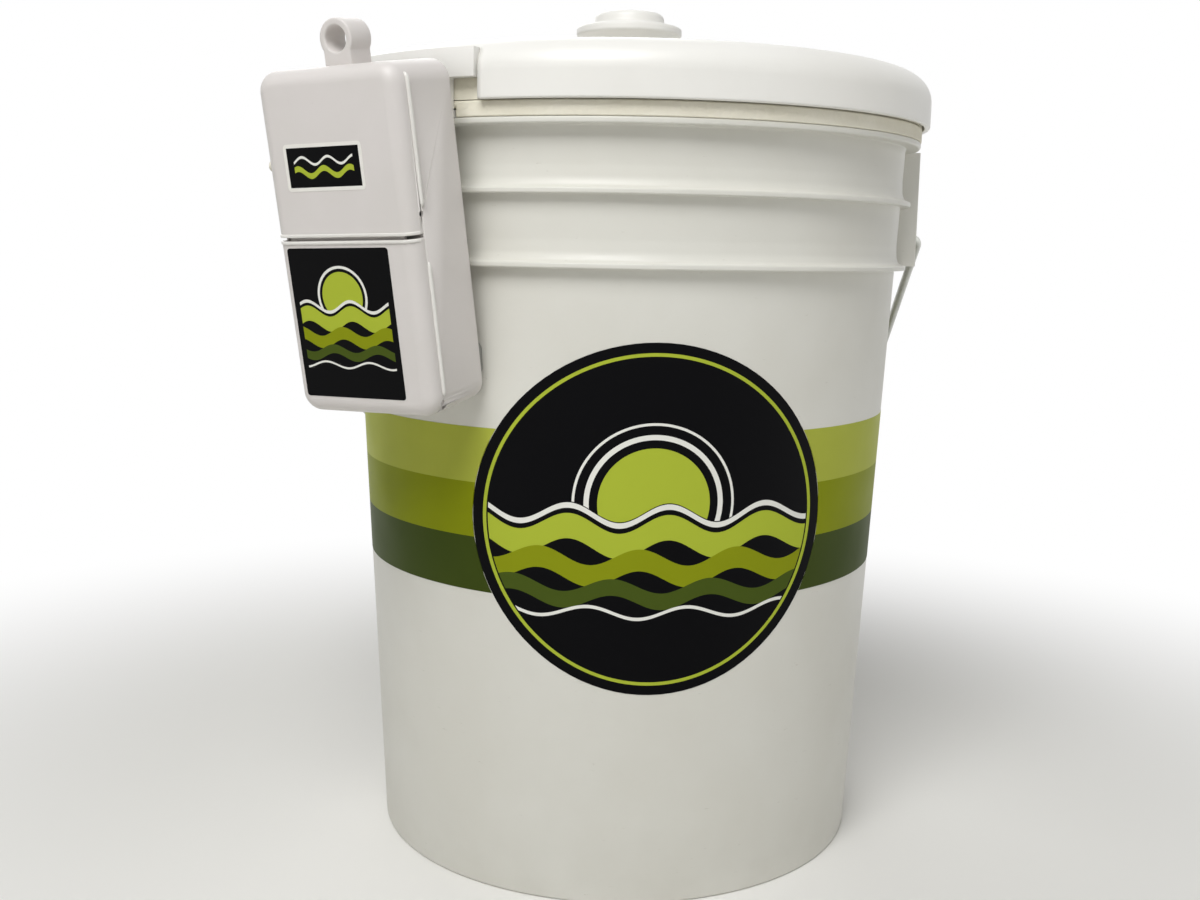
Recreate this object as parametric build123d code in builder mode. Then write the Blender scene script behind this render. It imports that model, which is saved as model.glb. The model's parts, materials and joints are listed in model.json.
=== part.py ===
from build123d import *
import os
from math import asin, atan, cos, degrees, hypot, radians, sin

os.makedirs("parts", exist_ok=True)

# An insulated 5-gallon bait pail with a battery air pump hung on its rim. Sizes are millimetres.
# The origin is the centre of the foot ring on the ground, +Z is up, -Y is the front, and the
# bail's ears lie on the X axis.

# ---- pail ----
pail_height = 370.0
pail_wall = 2.4
pail_foot_radius = 130.5
pail_taper = 0.045  # radius gained per millimetre of height
pail_floor_height = 6.0  # underside of the floor above the ground
pail_floor_thickness = 3.0
foot_ring_width = 5.0
rim_reach = 7.35  # out from the wall
rim_thickness = 3.0
upper_ring_reach = 5.0
upper_ring_drop = 30.0  # top face of the ring below the rim
lower_ring_reach = 5.45
lower_ring_drop = 62.5
ring_thickness = 2.4
ring_slope = 4.0  # height of the slope that runs from a ring back to the wall
ring_edge = 0.7

# ---- bail, its ears and its grip ----
bail_rise = 15.0  # pivot above the lower ring's top
ear_stand = 13.0  # ear's face out from the wall
ear_radius = 9.0
ear_web_spread = 13.0
ear_web_thickness = 2.4
web_shy = 0.5  # how far the webs stop short of the ear's face
wire_radius = 2.25
wire_fit = 0.3  # round the wire in its ears and in the grip
leg_gap = 3.25  # between the ear's face and the wire's leg
bail_length = 217.0
bail_corner = 105.0
bail_bend = 6.0
pin_depth = 10.0  # how far the wire's ends go into the ears
grip_length = 108.0
grip_radius = 13.0
grip_waist = 10.6
grip_collar = 5.0
grip_fingers = 4
grip_gap = 1.0  # between the grip and the pail when the bail hangs

# ---- foam liner ----
liner_gap = 0.4
liner_wall = 12.0
liner_floor = 14.0
liner_corner = 14.0
flange_overhang = 0.3
flange_thickness = 7.0

# ---- lid ----
lid_overhang = 4.3  # past the rim
lid_height = 26.5
lid_skin = 2.5
lid_skirt = 3.0
lid_corner = 14.0
lid_inner_corner = 16.0
lid_foam_gap = 0.8
lid_gap = 0.3  # between the lid's foam and the liner's flange
plug_depth = 12.0
plug_gap = 1.2
plug_corner = 3.0
screw_well_radius = 13.0
knob_foot_radius = 18.0
knob_foot_height = 2.5
knob_neck_low = 8.0
knob_neck_radius = 12.0
knob_neck_height = 17.0
knob_brim_radius = 28.0
knob_brim_height = 26.0
knob_brim_thickness = 4.0
knob_crown_radius = 19.0
knob_height = 33.5
knob_screw_hole = 22.0
knob_bore = 2.2
knob_screw_radius = 2.0
knob_screw_length = 19.0
screw_head_radius = 4.2
screw_head_height = 2.6
washer_radius = 9.0
washer_thickness = 1.2

# ---- prints on the pail ----
band_drop = 139.0  # top of the bands below the rim
band_width = 26.4
print_thickness = 0.5
disc_radius = 83.0
disc_across = 4.0  # its middle to the right of the front
disc_drop = 41.0  # its middle below the top of the bands
disc_gap = 0.2

# ---- air stone on the floor of the well ----
stone_radius = 12.5
stone_length = 50.0
stone_nipple_radius = 2.5
stone_nipple_length = 12.0
stone_place = 70.0

# ---- air pump housing ----
pump_azimuth = 44.3  # from the front towards -X, to the middle of the pump's back
pump_facing = 32.0  # the same, for the way its front faces
pump_tilt = 9.3
pump_roll = -1.4
pump_stand = 6.2  # its back's middle, out past the rim
pump_drop = 51.0  # its middle below the rim
pump_width = 75.0
pump_depth = 40.7
shell_depth = 7.4  # the front shells' share of the depth
case_wall = 2.2
case_corner = 9.0
case_back_edge = 3.0
shell_edge = 6.6
seam_gap = 1.6
seam_lip = 0.6
seam_lip_width = 1.4
seam_tongue = 1.5  # how far the cover's tongue reaches behind the door
tongue_thickness = 1.6
tongue_fit = 0.3
partition_overlap = 0.7  # how far the partition stands below the seam
bead_width = 1.8
bead_height = 1.1
bead_cover_margin = 11.0
bead_top_margin = 4.75
bead_door_margin = 10.5
bead_foot_margin = 8.75
bead_slot_radius = 1.4
bead_slot_depth = 1.4
lug_radius = 8.4
lug_hole_radius = 5.4
lug_length = 14.0
lug_setback = 1.6
lug_rise = 10.6
lug_offset = 2.8
lug_foot = 14.0

# ---- battery bay ----
cell_radius = 17.1
cell_length = 60.0
cell_tip_radius = 4.7
cell_tip_length = 1.5
cell_gap = 0.2
cell_clearance = 0.6
contact_thickness = 0.5
contact_width = 9.0
cell_headroom = 4.4
spring_height = 9.0
door_fit = 0.3
door_gap = 0.2  # between the door and the case's front edge
rail_length = 58.0
rail_thickness = 1.5
rail_depth = 4.0
hook_reach = 0.7
hook_thickness = 1.2
rail_root = 2.5
cell_edge = 1.2
leaf_reach = 9.0
leaf_top = 3.0
leaf_drop = 3.0
contact_boss_radius = 3.0

# ---- pump bay ----
motor_radius = 12.2
motor_length = 12.3
motor_boss_radius = 3.0
motor_boss_length = 1.5
shaft_radius = 1.0
works_gap = 10.7  # between the partition and the chassis
motor_offset = 10.0
chassis_thickness = 1.8
cradle_wall = 2.0
cradle_gap = 0.1
cradle_split = 6.0
cradle_depth = 9.0
chassis_right = 31.0
chassis_height = 34.0
chassis_screw_left = -11.5
chassis_screw_right = 27.6
chassis_screw_rise = 13.0
small_screw_radius = 1.0
small_screw_bite = 1.6
crank_radius = 6.0
crank_thickness = 2.5
crank_throw = 2.0
crank_pin_radius = 1.0
crank_pin_length = 4.5
rod_fit = 0.1
rod_thickness = 3.0
rod_eye_radius = 3.2
rod_width = 2.6
rod_tip_radius = 3.2
rod_tip_gap = 0.5
diaphragm_radius = 10.0
diaphragm_thickness = 3.0
diaphragm_cup_wall = 1.4
diaphragm_cup_depth = 4.0
head_width = 15.0
head_height = 26.0
head_depth = 30.5
outlet_radius = 2.5
outlet_root_radius = 3.2  # where it goes through the case's wall
outlet_bore = 1.25
outlet_length = 12.0
outlet_gap = 0.2
outlet_flange_radius = 5.0
outlet_flange = 1.5
switch_gap = 0.5
switch_headroom = 7.8
switch_size = 13.0
switch_body_width = 3.6
switch_body_depth = 7.0
switch_depth = 20.0
switch_knob = 5.0
slider_gap = 0.1
switch_knob_rise = 2.2
switch_travel = 4.0
switch_fit = 0.3
screw_radius = 1.5
screw_gap = 0.05
screw_bite = 14.0
small_head_radius = 2.8
small_head_height = 1.6
post_radius = 3.2
post_spread = 27.0
post_gap = 0.4  # between the lower posts and the partition
post_headroom = 3.1
gasket_width = 1.0
gasket_thickness = 1.2

# ---- hanger between pump and rim ----
hanger_arc = 20.0  # degrees of the rim that the hook spans
hanger_wing_arc = 30.0
hanger_fit = 0.7
hanger_thickness = 3.2
hanger_lip_depth = 18.0
hanger_leg_depth = 35.0
hanger_rise = 29.0  # above the rim
hanger_wing_height = 12.5
hanger_wing_stand = 1.8  # proud of the lid
hanger_plate = 2.4
neck_below = 27.0  # the neck's ends, below and above the rim
neck_above = 9.0
hanger_neck_left = -18.0
hanger_neck_right = 20.0
neck_reach = 26.0
plate_left = -32.0
plate_right = 33.0
plate_margin = 6.0  # past the screws, at its top and its foot
neck_wall = 2.4
notch_gap = 0.8  # round the hanger in the liner and the lid
bumper_margin = 8.7
bumper_height = 16.0
bumper_left = 6.0
bumper_right = 34.0
bumper_reach = 20.0
bumper_gap = 0.05

# ---- labels on the pump ----
label_thickness = 0.3
door_label_width = 55.0
door_label_height = 66.6
door_label_offset = -4.3
door_label_margin = 3.0
badge_width = 42.0
badge_height = 20.0
badge_offset = -4.8
badge_drop = 40.6  # its middle below the housing's top
label_corner = 1.5


def wall_radius(height):
    """Outer radius of the pail's wall at a height."""
    return pail_foot_radius + pail_taper * height


def bore_radius(height):
    """Inner radius of the pail's wall at a height."""
    return wall_radius(height) - pail_wall


def ring_outline(radius, top, thickness):
    """Points of a ring on the pail's wall, going up: square below, sloping back to the wall above."""
    low = top - thickness
    return [
        (wall_radius(low), low),
        (radius - ring_edge, low),
        (radius, low + ring_edge),
        (radius, top - ring_edge),
        (radius - ring_edge, top),
        (wall_radius(top) + 1.2, top + 1.0),
        (wall_radius(top + ring_slope), top + ring_slope),
    ]


def outline(points, plane=Plane.XZ):
    """A flat closed outline through points; on the XZ plane they are (radius, height)."""
    with BuildSketch(plane) as profile:
        with BuildLine():
            Polyline(*points, close=True)
        make_face()
    return profile.sketch


def radial_plane(angle):
    """The upright plane through the Z axis whose x runs outwards at an angle in degrees."""
    turn = radians(angle)
    return Plane((0, 0, 0), x_dir=(cos(turn), sin(turn), 0), z_dir=(sin(turn), -cos(turn), 0))


# ---- places worked out from the sizes above ----
rim_radius = wall_radius(pail_height) + rim_reach
upper_ring_height = pail_height - upper_ring_drop
lower_ring_height = pail_height - lower_ring_drop
upper_ring_radius = wall_radius(upper_ring_height) + upper_ring_reach
lower_ring_radius = wall_radius(lower_ring_height) + lower_ring_reach
bail_height = lower_ring_height + bail_rise
ear_reach = wall_radius(bail_height) + ear_stand
bail_leg = ear_reach + leg_gap + wire_radius
floor_top = pail_floor_height + pail_floor_thickness
liner_floor_top = floor_top + liner_floor
flange_top = pail_height + flange_thickness
flange_radius = rim_radius + flange_overhang
lid_radius = rim_radius + lid_overhang
lid_top = flange_top + lid_height
band_top = pail_height - band_drop
band_bottom = band_top - 3 * band_width
disc_height = band_top - disc_drop
hanger_top = pail_height + hanger_rise
hanger_wing_radius = lid_radius + hanger_wing_stand
pump_back_radius = rim_radius + pump_stand
pump_middle = pail_height - pump_drop
pump_direction = -90.0 - pump_azimuth  # degrees from +X, anticlockwise from above
well_radius = bore_radius(pail_height) - liner_gap - liner_wall

# the hanging bail leans on the pail's back, so its angle follows from its length and the wall
lean = atan(pail_taper)
grip_stand = wall_radius(bail_height) + grip_radius + grip_gap
bail_angle = asin(grip_stand / hypot(bail_length, pail_taper * bail_length)) - lean
bail_plane = Plane(
    (0, 0, bail_height), x_dir=(1, 0, 0), z_dir=(0, cos(bail_angle), sin(bail_angle))
)

# the pump's own frame: x across its front, y towards the pail, z up its height
facing = radians(pump_facing)
tilt = radians(pump_tilt)
roll = radians(pump_roll)
azimuth = radians(pump_azimuth)
level_out = Vector(-sin(facing), -cos(facing), 0)
level_across = Vector(cos(facing), -sin(facing), 0)
leaning_up = Vector(0, 0, 1) * cos(tilt) + level_out * sin(tilt)
pump_up = leaning_up * cos(roll) + level_across * sin(roll)
pump_across = level_across * cos(roll) - leaning_up * sin(roll)
pump_origin = Vector(
    -pump_back_radius * sin(azimuth), -pump_back_radius * cos(azimuth), pump_middle
)
pump = Plane(pump_origin, x_dir=pump_across, z_dir=pump_up)
pump_out = pump.y_dir * -1
up_axis = Axis(pump_origin, pump_up)
out_axis = Axis(pump_origin, pump_out)
across_axis = Axis(pump_origin, pump_across)


def level(height):
    """Looking down on the pump, at a height above its middle: x across, y towards the pail."""
    return Plane(pump.from_local_coords((0, 0, height)), x_dir=pump_across, z_dir=pump_up)


def face(depth):
    """Facing out of the pump's front, so far in front of its back: x across, y up."""
    return Plane(pump.from_local_coords((0, -depth, 0)), x_dir=pump_across, z_dir=pump_out)


def side(offset):
    """Facing across the pump, at an offset from its middle: x towards the pail, y up."""
    return Plane(pump.from_local_coords((offset, 0, 0)), x_dir=pump.y_dir, z_dir=pump_across)


tub_depth = pump_depth - shell_depth
half_width = pump_width / 2
inner_width = half_width - case_wall
# the housing is as high as what it holds: the cells below the seam, the works above it
bay_stack = case_wall + spring_height + cell_length + cell_tip_length + cell_headroom
works_stack = works_gap + chassis_height + switch_gap + switch_size + switch_headroom + case_wall
pump_height = bay_stack + partition_overlap + seam_gap + case_wall + works_stack
half_height = pump_height / 2
partition_low = -half_height + bay_stack
door_top = partition_low + partition_overlap
cover_bottom = door_top + seam_gap
partition_top = cover_bottom + case_wall
works_height = partition_top + works_gap + chassis_height / 2  # shaft and outlet
switch_height = works_height + chassis_height / 2 + switch_gap + switch_size / 2
post_low = partition_top + post_gap + post_radius
post_high = half_height - case_wall - post_headroom - post_radius
plate_low = post_low - plate_margin
plate_high = post_high + plate_margin
bumper_low = -half_height + bumper_margin
bumper_high = bumper_low + bumper_height
badge_middle = half_height - badge_drop
cell_depth = case_wall + cell_clearance + cell_radius
cell_places = (-cell_radius - cell_gap / 2, cell_radius + cell_gap / 2)
bay_floor = -half_height + case_wall
cell_bottom = bay_floor + spring_height
cell_top = cell_bottom + cell_length + cell_tip_length
motor_back = case_wall + chassis_thickness
motor_front = motor_back + motor_length
crank_back = motor_front + motor_boss_length + 0.5
rod_back = crank_back + crank_thickness + 0.5
rod_middle = rod_back + rod_thickness / 2
head_left = -inner_width + outlet_flange
head_face = head_left + head_width
rod_tip = head_face + diaphragm_thickness + rod_tip_gap + rod_tip_radius + 2 * crank_throw
cup_radius = hypot(rod_tip_radius + crank_throw, rod_thickness / 2) + rod_tip_gap
switch_left = -inner_width
door_back = tub_depth + door_gap
rail_outer = inner_width - door_fit
rail_inner = rail_outer - rail_thickness
rail_back = tub_depth - rail_depth
rail_low = partition_low - door_fit - rail_length
hook_outer = rail_outer + hook_reach
hook_room = hook_outer + door_fit - inner_width
groove_middle = rail_back + hook_thickness / 2
groove_width = hook_thickness + 2 * door_fit
lug_back = tub_depth - lug_setback - lug_length
bead_runs = (
    (cover_bottom + bead_cover_margin, half_height - bead_top_margin),
    (-half_height + bead_foot_margin, door_top - bead_door_margin),
)
chassis_screw_places = [
    (chassis_screw_left, works_height - chassis_screw_rise),
    (chassis_screw_left, works_height + chassis_screw_rise),
    (chassis_screw_right, works_height),
]
door_label_middle = door_top - door_label_margin - door_label_height / 2
leg_inner = rim_radius + hanger_fit
leg_outer = leg_inner + hanger_thickness
bridge_top = pail_height + hanger_thickness
leg_low = pail_height - hanger_leg_depth
lip_outer = bore_radius(pail_height - hanger_lip_depth) - liner_gap
lip_inner = lip_outer - hanger_thickness
hanger_neck_low = pump_drop - neck_below
hanger_neck_high = pump_drop + neck_above
neck_width = hanger_neck_right - hanger_neck_left
neck_middle = (hanger_neck_right + hanger_neck_left) / 2


# ---- pail with its collar of rings and its ears ----
with BuildPart() as pail:
    wall_profile = outline(
        [
            (wall_radius(0) - foot_ring_width, 0),
            (wall_radius(0) - ring_edge, 0),
            (wall_radius(ring_edge), ring_edge),
            *ring_outline(lower_ring_radius, lower_ring_height, ring_thickness),
            *ring_outline(upper_ring_radius, upper_ring_height, ring_thickness),
            (wall_radius(pail_height - rim_thickness), pail_height - rim_thickness),
            (rim_radius - ring_edge, pail_height - rim_thickness),
            (rim_radius, pail_height - rim_thickness + ring_edge),
            (rim_radius, pail_height - ring_edge),
            (rim_radius - ring_edge, pail_height),
            (bore_radius(pail_height), pail_height),
            (bore_radius(floor_top), floor_top),
            (0, floor_top),
            (0, pail_floor_height),
            (wall_radius(0) - foot_ring_width, pail_floor_height),
        ]
    )
    revolve(wall_profile, axis=Axis.Z)
    boss_root = bore_radius(bail_height) + 1.0
    web_low = lower_ring_height - 0.5
    web_high = pail_height - rim_thickness + 0.5
    web_root = pail_wall / 2
    for turn in (0, 180):
        towards = Vector(1, 0, 0).rotate(Axis.Z, turn)
        ear = Plane(towards * boss_root + Vector(0, 0, bail_height), x_dir=(0, 1, 0), z_dir=towards)
        with BuildSketch(ear):
            Circle(ear_radius)
        extrude(amount=ear_reach - boss_root)
        for spread in (-ear_web_spread, 0, ear_web_spread):
            rib = outline(
                [
                    (wall_radius(web_low) - web_root, web_low), (ear_reach - web_shy, web_low),
                    (ear_reach - web_shy, web_high), (wall_radius(web_high) - web_root, web_high),
                ],
                radial_plane(turn).offset(spread),
            )
            extrude(rib, amount=ear_web_thickness / 2, both=True)
        mouth = Plane(towards * ear_reach + Vector(0, 0, bail_height), z_dir=towards)
        with BuildSketch(mouth):
            Circle(wire_radius + wire_fit)
        extrude(amount=-pin_depth - 1.0, mode=Mode.SUBTRACT)
pail.part.label = "pail"
export_step(pail.part, "parts/pail.step")


# ---- bail wire and its turning grip ----
pin_end = ear_reach - pin_depth
with BuildPart() as bail_wire:
    with BuildLine(bail_plane) as bail_path:
        FilletPolyline(
            (pin_end, 0),
            (bail_leg, 0),
            (bail_leg, bail_length),
            (-bail_leg, bail_length),
            (-bail_leg, 0),
            (-pin_end, 0),
            radius=(bail_bend, bail_corner, bail_corner, bail_bend),
        )
    with BuildSketch(Plane((pin_end, 0, bail_height), z_dir=(1, 0, 0))):
        Circle(wire_radius)
    sweep(path=bail_path.wire())
bail_wire.part.label = "bail_wire"
export_step(bail_wire.part, "parts/bail_wire.step")

with BuildPart() as bail_grip:
    grip_bore = bail_length - wire_radius - wire_fit
    grip_end = grip_length / 2
    body_end = grip_end - grip_collar
    finger = 2 * body_end / grip_fingers
    with BuildSketch(bail_plane):
        with BuildLine():
            waist = bail_length - grip_waist
            outer = bail_length - grip_radius
            Polyline(
                (-body_end, waist), (-body_end, outer), (-grip_end + 1, outer),
                (-grip_end, outer + 1), (-grip_end, grip_bore), (grip_end, grip_bore),
                (grip_end, outer + 1), (grip_end - 1, outer), (body_end, outer), (body_end, waist),
            )
            for number in range(grip_fingers):
                left = -body_end + number * finger
                swell = (left + finger / 2, (waist + outer) / 2)
                ThreePointArc((left, waist), swell, (left + finger, waist))
        make_face()
    revolve(axis=Axis(bail_plane.from_local_coords((0, bail_length, 0)), (1, 0, 0)))
bail_grip.part.label = "bail_grip"
export_step(bail_grip.part, "parts/bail_grip.step")


# ---- foam liner, with a flange on the rim and a pocket for the hanger ----
liner_bottom_radius = bore_radius(floor_top) - liner_gap
liner_top_radius = bore_radius(pail_height) - liner_gap
well_bottom_radius = bore_radius(liner_floor_top) - liner_gap - liner_wall
with BuildPart() as foam_liner:
    with BuildSketch(Plane.XZ):
        with BuildLine():
            Polyline(
                (0, floor_top + 0.01), (liner_bottom_radius, floor_top + 0.01),
                (liner_top_radius, pail_height), (flange_radius, pail_height),
                (flange_radius, flange_top), (well_radius, flange_top),
                (well_bottom_radius, liner_floor_top), (0, liner_floor_top), close=True,
            )
        make_face()
    revolve(axis=Axis.Z)
    well_corner = foam_liner.edges().filter_by(GeomType.CIRCLE).filter_by_position(
        Axis.Z, liner_floor_top - 0.1, liner_floor_top + 0.1
    )
    fillet(well_corner, radius=liner_corner)
    pocket_low = pail_height - hanger_lip_depth - notch_gap
    pocket_arc = hanger_arc + 2 * degrees(notch_gap / lip_inner)
    pocket = outline(
        [
            (lip_inner - notch_gap, pocket_low), (flange_radius + 2, pocket_low),
            (flange_radius + 2, bridge_top + notch_gap), (lip_inner - notch_gap, bridge_top + notch_gap),
        ],
        radial_plane(pump_direction - pocket_arc / 2),
    )
    revolve(pocket, axis=Axis.Z, revolution_arc=pocket_arc, mode=Mode.SUBTRACT)
foam_liner.part.label = "foam_liner"
export_step(foam_liner.part, "parts/foam_liner.step")


# ---- prints: three bands round the pail and a disc on the front ----
def sleeve(low, high):
    """The outline of a thin printed sleeve on the pail's wall between two heights."""
    return outline(
        [
            (wall_radius(low), low), (wall_radius(low) + print_thickness, low),
            (wall_radius(high) + print_thickness, high), (wall_radius(high), high),
        ]
    )


for number, band in enumerate(("dark", "middle", "light")):
    low = band_bottom + number * band_width
    with BuildPart() as stripe:
        revolve(sleeve(low, low + band_width), axis=Axis.Z)
        with BuildSketch(Plane.XZ):
            with Locations((disc_across, disc_height)):
                Circle(disc_radius + disc_gap)
        extrude(amount=lid_radius, mode=Mode.SUBTRACT)
    stripe.part.label = f"stripe_{band}"
    export_step(stripe.part, f"parts/stripe_{band}.step")

with BuildPart() as disc_label:
    revolve(sleeve(disc_height - disc_radius - 1, disc_height + disc_radius + 1), axis=Axis.Z)
    with BuildSketch(Plane.XZ):
        with Locations((disc_across, disc_height)):
            Circle(disc_radius)
    extrude(amount=lid_radius, mode=Mode.INTERSECT)
disc_label.part.label = "disc_label"
export_step(disc_label.part, "parts/disc_label.step")


# ---- air stone lying on the floor of the well ----
with BuildPart() as air_stone:
    stone_axis_height = liner_floor_top + stone_radius
    with BuildSketch(Plane.YZ.offset(-stone_length / 2)):
        with Locations((stone_place, stone_axis_height)):
            Circle(stone_radius)
    extrude(amount=stone_length)
    fillet(air_stone.edges().filter_by(GeomType.CIRCLE), radius=2.5)
    with BuildSketch(Plane.YZ.offset(stone_length / 2)):
        with Locations((stone_place, stone_axis_height)):
            Circle(stone_nipple_radius)
    extrude(amount=stone_nipple_length)
air_stone.part.label = "air_stone"
export_step(air_stone.part, "parts/air_stone.step")


# ---- lid: a domed cover, a foam plug under it and a knob ----
notch_radius = flange_radius + 0.1
skirt_inner = lid_radius - lid_skirt
cover_under = lid_top - lid_skin
with BuildPart() as lid_cover:
    with BuildSketch(Plane.XZ):
        with BuildLine():
            FilletPolyline(
                (0, cover_under), (0, lid_top), (lid_radius, lid_top), (lid_radius, flange_top),
                (skirt_inner, flange_top), (skirt_inner, cover_under),
                radius=(0, 0, lid_corner, 0.8, 0.8, lid_inner_corner), close=True,
            )
        make_face()
    revolve(axis=Axis.Z)
    with BuildSketch(Plane.XY.offset(cover_under - 1)):
        Circle(knob_screw_radius + 0.2)
    extrude(amount=lid_skin + 2, mode=Mode.SUBTRACT)
    notch_arc = hanger_wing_arc + 2 * degrees(notch_gap / lid_radius)
    notch = outline(
        [
            (notch_radius, flange_top - 1), (lid_radius + 1, flange_top - 1),
            (lid_radius + 1, hanger_top + notch_gap), (notch_radius, hanger_top + notch_gap),
        ],
        radial_plane(pump_direction - notch_arc / 2),
    )
    revolve(notch, axis=Axis.Z, revolution_arc=notch_arc, mode=Mode.SUBTRACT)
lid_cover.part.label = "lid_cover"
export_step(lid_cover.part, "parts/lid_cover.step")

foam_bottom = flange_top + lid_gap
foam_top = cover_under - lid_foam_gap
foam_radius = skirt_inner - 1.5 * lid_foam_gap
plug_radius = well_radius - plug_gap
with BuildPart() as lid_foam:
    with BuildSketch(Plane.XZ):
        with BuildLine():
            FilletPolyline(
                (screw_well_radius, foam_top), (foam_radius, foam_top), (foam_radius, foam_bottom),
                (plug_radius, foam_bottom), (plug_radius, flange_top - plug_depth),
                (screw_well_radius, flange_top - plug_depth),
                radius=(0, lid_inner_corner, 0, 0, plug_corner, 0), close=True,
            )
        make_face()
    revolve(axis=Axis.Z)
lid_foam.part.label = "lid_foam"
export_step(lid_foam.part, "parts/lid_foam.step")

with BuildPart() as lid_knob:
    with BuildSketch(Plane.XZ):
        with BuildLine():
            FilletPolyline(
                (knob_bore, lid_top), (knob_foot_radius, lid_top),
                (knob_foot_radius, lid_top + knob_foot_height),
                (knob_neck_radius, lid_top + knob_neck_low),
                (knob_neck_radius, lid_top + knob_neck_height),
                (knob_brim_radius, lid_top + knob_brim_height - knob_brim_thickness),
                (knob_brim_radius, lid_top + knob_brim_height),
                (knob_crown_radius, lid_top + knob_brim_height + 1.5),
                (knob_crown_radius - 1, lid_top + knob_height), (0, lid_top + knob_height),
                (0, lid_top + knob_screw_hole), (knob_bore, lid_top + knob_screw_hole),
                radius=(0, 0.8, 1.2, 3, 4, 1.5, 1.5, 2, 3, 0, 0, 0), close=True,
            )
        make_face()
    revolve(axis=Axis.Z)
lid_knob.part.label = "lid_knob"
export_step(lid_knob.part, "parts/lid_knob.step")

with BuildPart() as knob_washer:
    with BuildSketch(Plane.XY.offset(cover_under)):
        Circle(washer_radius)
        Circle(knob_screw_radius + 0.2, mode=Mode.SUBTRACT)
    extrude(amount=-washer_thickness)
knob_washer.part.label = "knob_washer"
export_step(knob_washer.part, "parts/knob_washer.step")

with BuildPart() as knob_screw:
    with BuildSketch(Plane.XY.offset(cover_under - washer_thickness)):
        Circle(screw_head_radius)
    extrude(amount=-screw_head_height)
    fillet(knob_screw.edges().filter_by(GeomType.CIRCLE).sort_by(Axis.Z)[0], radius=1.2)
    with BuildSketch(Plane.XY.offset(cover_under - washer_thickness)):
        Circle(knob_screw_radius)
    extrude(amount=knob_screw_length)
knob_screw.part.label = "knob_screw"
export_step(knob_screw.part, "parts/knob_screw.step")


# ---- pump housing ----
def housing_outline(inset, low=-half_height, high=half_height):
    """The housing's rounded outline seen from the front, inset and cut between two heights."""
    RectangleRounded(pump_width - 2 * inset, pump_height - 2 * inset, case_corner - inset)
    with Locations((0, (low + high) / 2)):
        Rectangle(pump_width, high - low, mode=Mode.INTERSECT)


def rail_centres(offset, depth):
    """A place on each side of the housing, seen from above."""
    return [(hand * offset, -depth) for hand in (-1, 1)]


def post_places(*heights):
    """Places for a pair of screw posts at each height."""
    return [(x, y) for y in heights for x in (-post_spread, post_spread)]


with BuildPart() as pump_case:
    with BuildSketch(face(0)):
        housing_outline(0)
    extrude(amount=tub_depth)
    fillet(pump_case.faces().sort_by(out_axis)[0].edges(), radius=case_back_edge)
    with BuildSketch(face(case_wall)):
        housing_outline(case_wall)
    extrude(amount=tub_depth, mode=Mode.SUBTRACT)
    with BuildSketch(face(case_wall)):
        with Locations((0, (partition_low + partition_top) / 2)):
            Rectangle(pump_width - case_wall, partition_top - partition_low)
    extrude(amount=tub_depth - case_wall)
    # a rebate for the gasket round the pump bay
    with BuildSketch(face(tub_depth)):
        housing_outline(case_wall - gasket_width, low=partition_top - gasket_width)
    extrude(amount=-gasket_thickness, mode=Mode.SUBTRACT)
    # grooves that hold the battery door's rails, open through the bottom wall
    with BuildSketch(level(partition_low)):
        with Locations(*rail_centres(inner_width + hook_room / 2, groove_middle)):
            Rectangle(hook_room, groove_width)
    extrude(amount=-pump_height, mode=Mode.SUBTRACT)
    with BuildSketch(level(rail_low - door_fit)):
        with Locations(*rail_centres((rail_inner + hook_outer) / 2, tub_depth - rail_depth / 2)):
            Rectangle(hook_outer - rail_inner + 2 * door_fit, rail_depth + 2 * door_fit)
    extrude(amount=-pump_height, mode=Mode.SUBTRACT)
    # screw holes in the back, and the two ways through the left wall
    with BuildSketch(face(0)):
        with Locations(*post_places(post_high, post_low)):
            Circle(screw_radius + screw_gap)
    extrude(amount=case_wall, mode=Mode.SUBTRACT)
    with BuildSketch(face(case_wall)):
        with Locations(*chassis_screw_places):
            Circle(small_screw_radius + screw_gap)
    extrude(amount=-small_screw_bite, mode=Mode.SUBTRACT)
    with BuildSketch(side(-half_width)):
        with Locations((-rod_middle, works_height)):
            Circle(outlet_root_radius + outlet_gap)
        with Locations((-switch_depth, switch_height + switch_travel / 2)):
            Rectangle(switch_knob + 2 * switch_fit, switch_knob + switch_travel + 2 * switch_fit)
    extrude(amount=case_wall, mode=Mode.SUBTRACT)
    # the carrying lug on top
    with BuildSketch(face(lug_back)):
        with Locations((lug_offset, half_height + lug_rise)):
            Circle(lug_radius)
        with Locations((lug_offset, half_height - case_wall / 2)):
            Rectangle(lug_foot, lug_rise + case_wall / 2, align=(Align.CENTER, Align.MIN))
    extrude(amount=lug_length)
    with BuildSketch(face(lug_back)):
        with Locations((lug_offset, half_height + lug_rise)):
            Circle(lug_hole_radius)
    extrude(amount=lug_length, mode=Mode.SUBTRACT)
    # the beads along both sides, each ending in a slot that frees its shell
    for hand in (-1, 1):
        for low, high in bead_runs:
            bead_middle = -tub_depth + bead_width / 2
            with BuildSketch(side(hand * (half_width - case_wall / 2))):
                with Locations((bead_middle, (low + high) / 2)):
                    SlotOverall(high - low, bead_width, rotation=90)
            extrude(amount=hand * (case_wall / 2 + bead_height))
            with BuildSketch(side(hand * half_width)):
                with Locations((bead_middle - bead_width, low - 2 * bead_slot_radius)):
                    Circle(bead_slot_radius)
            extrude(amount=-hand * bead_slot_depth, mode=Mode.SUBTRACT)
pump_case.part.label = "pump_case"
export_step(pump_case.part, "parts/pump_case.step")

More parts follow.
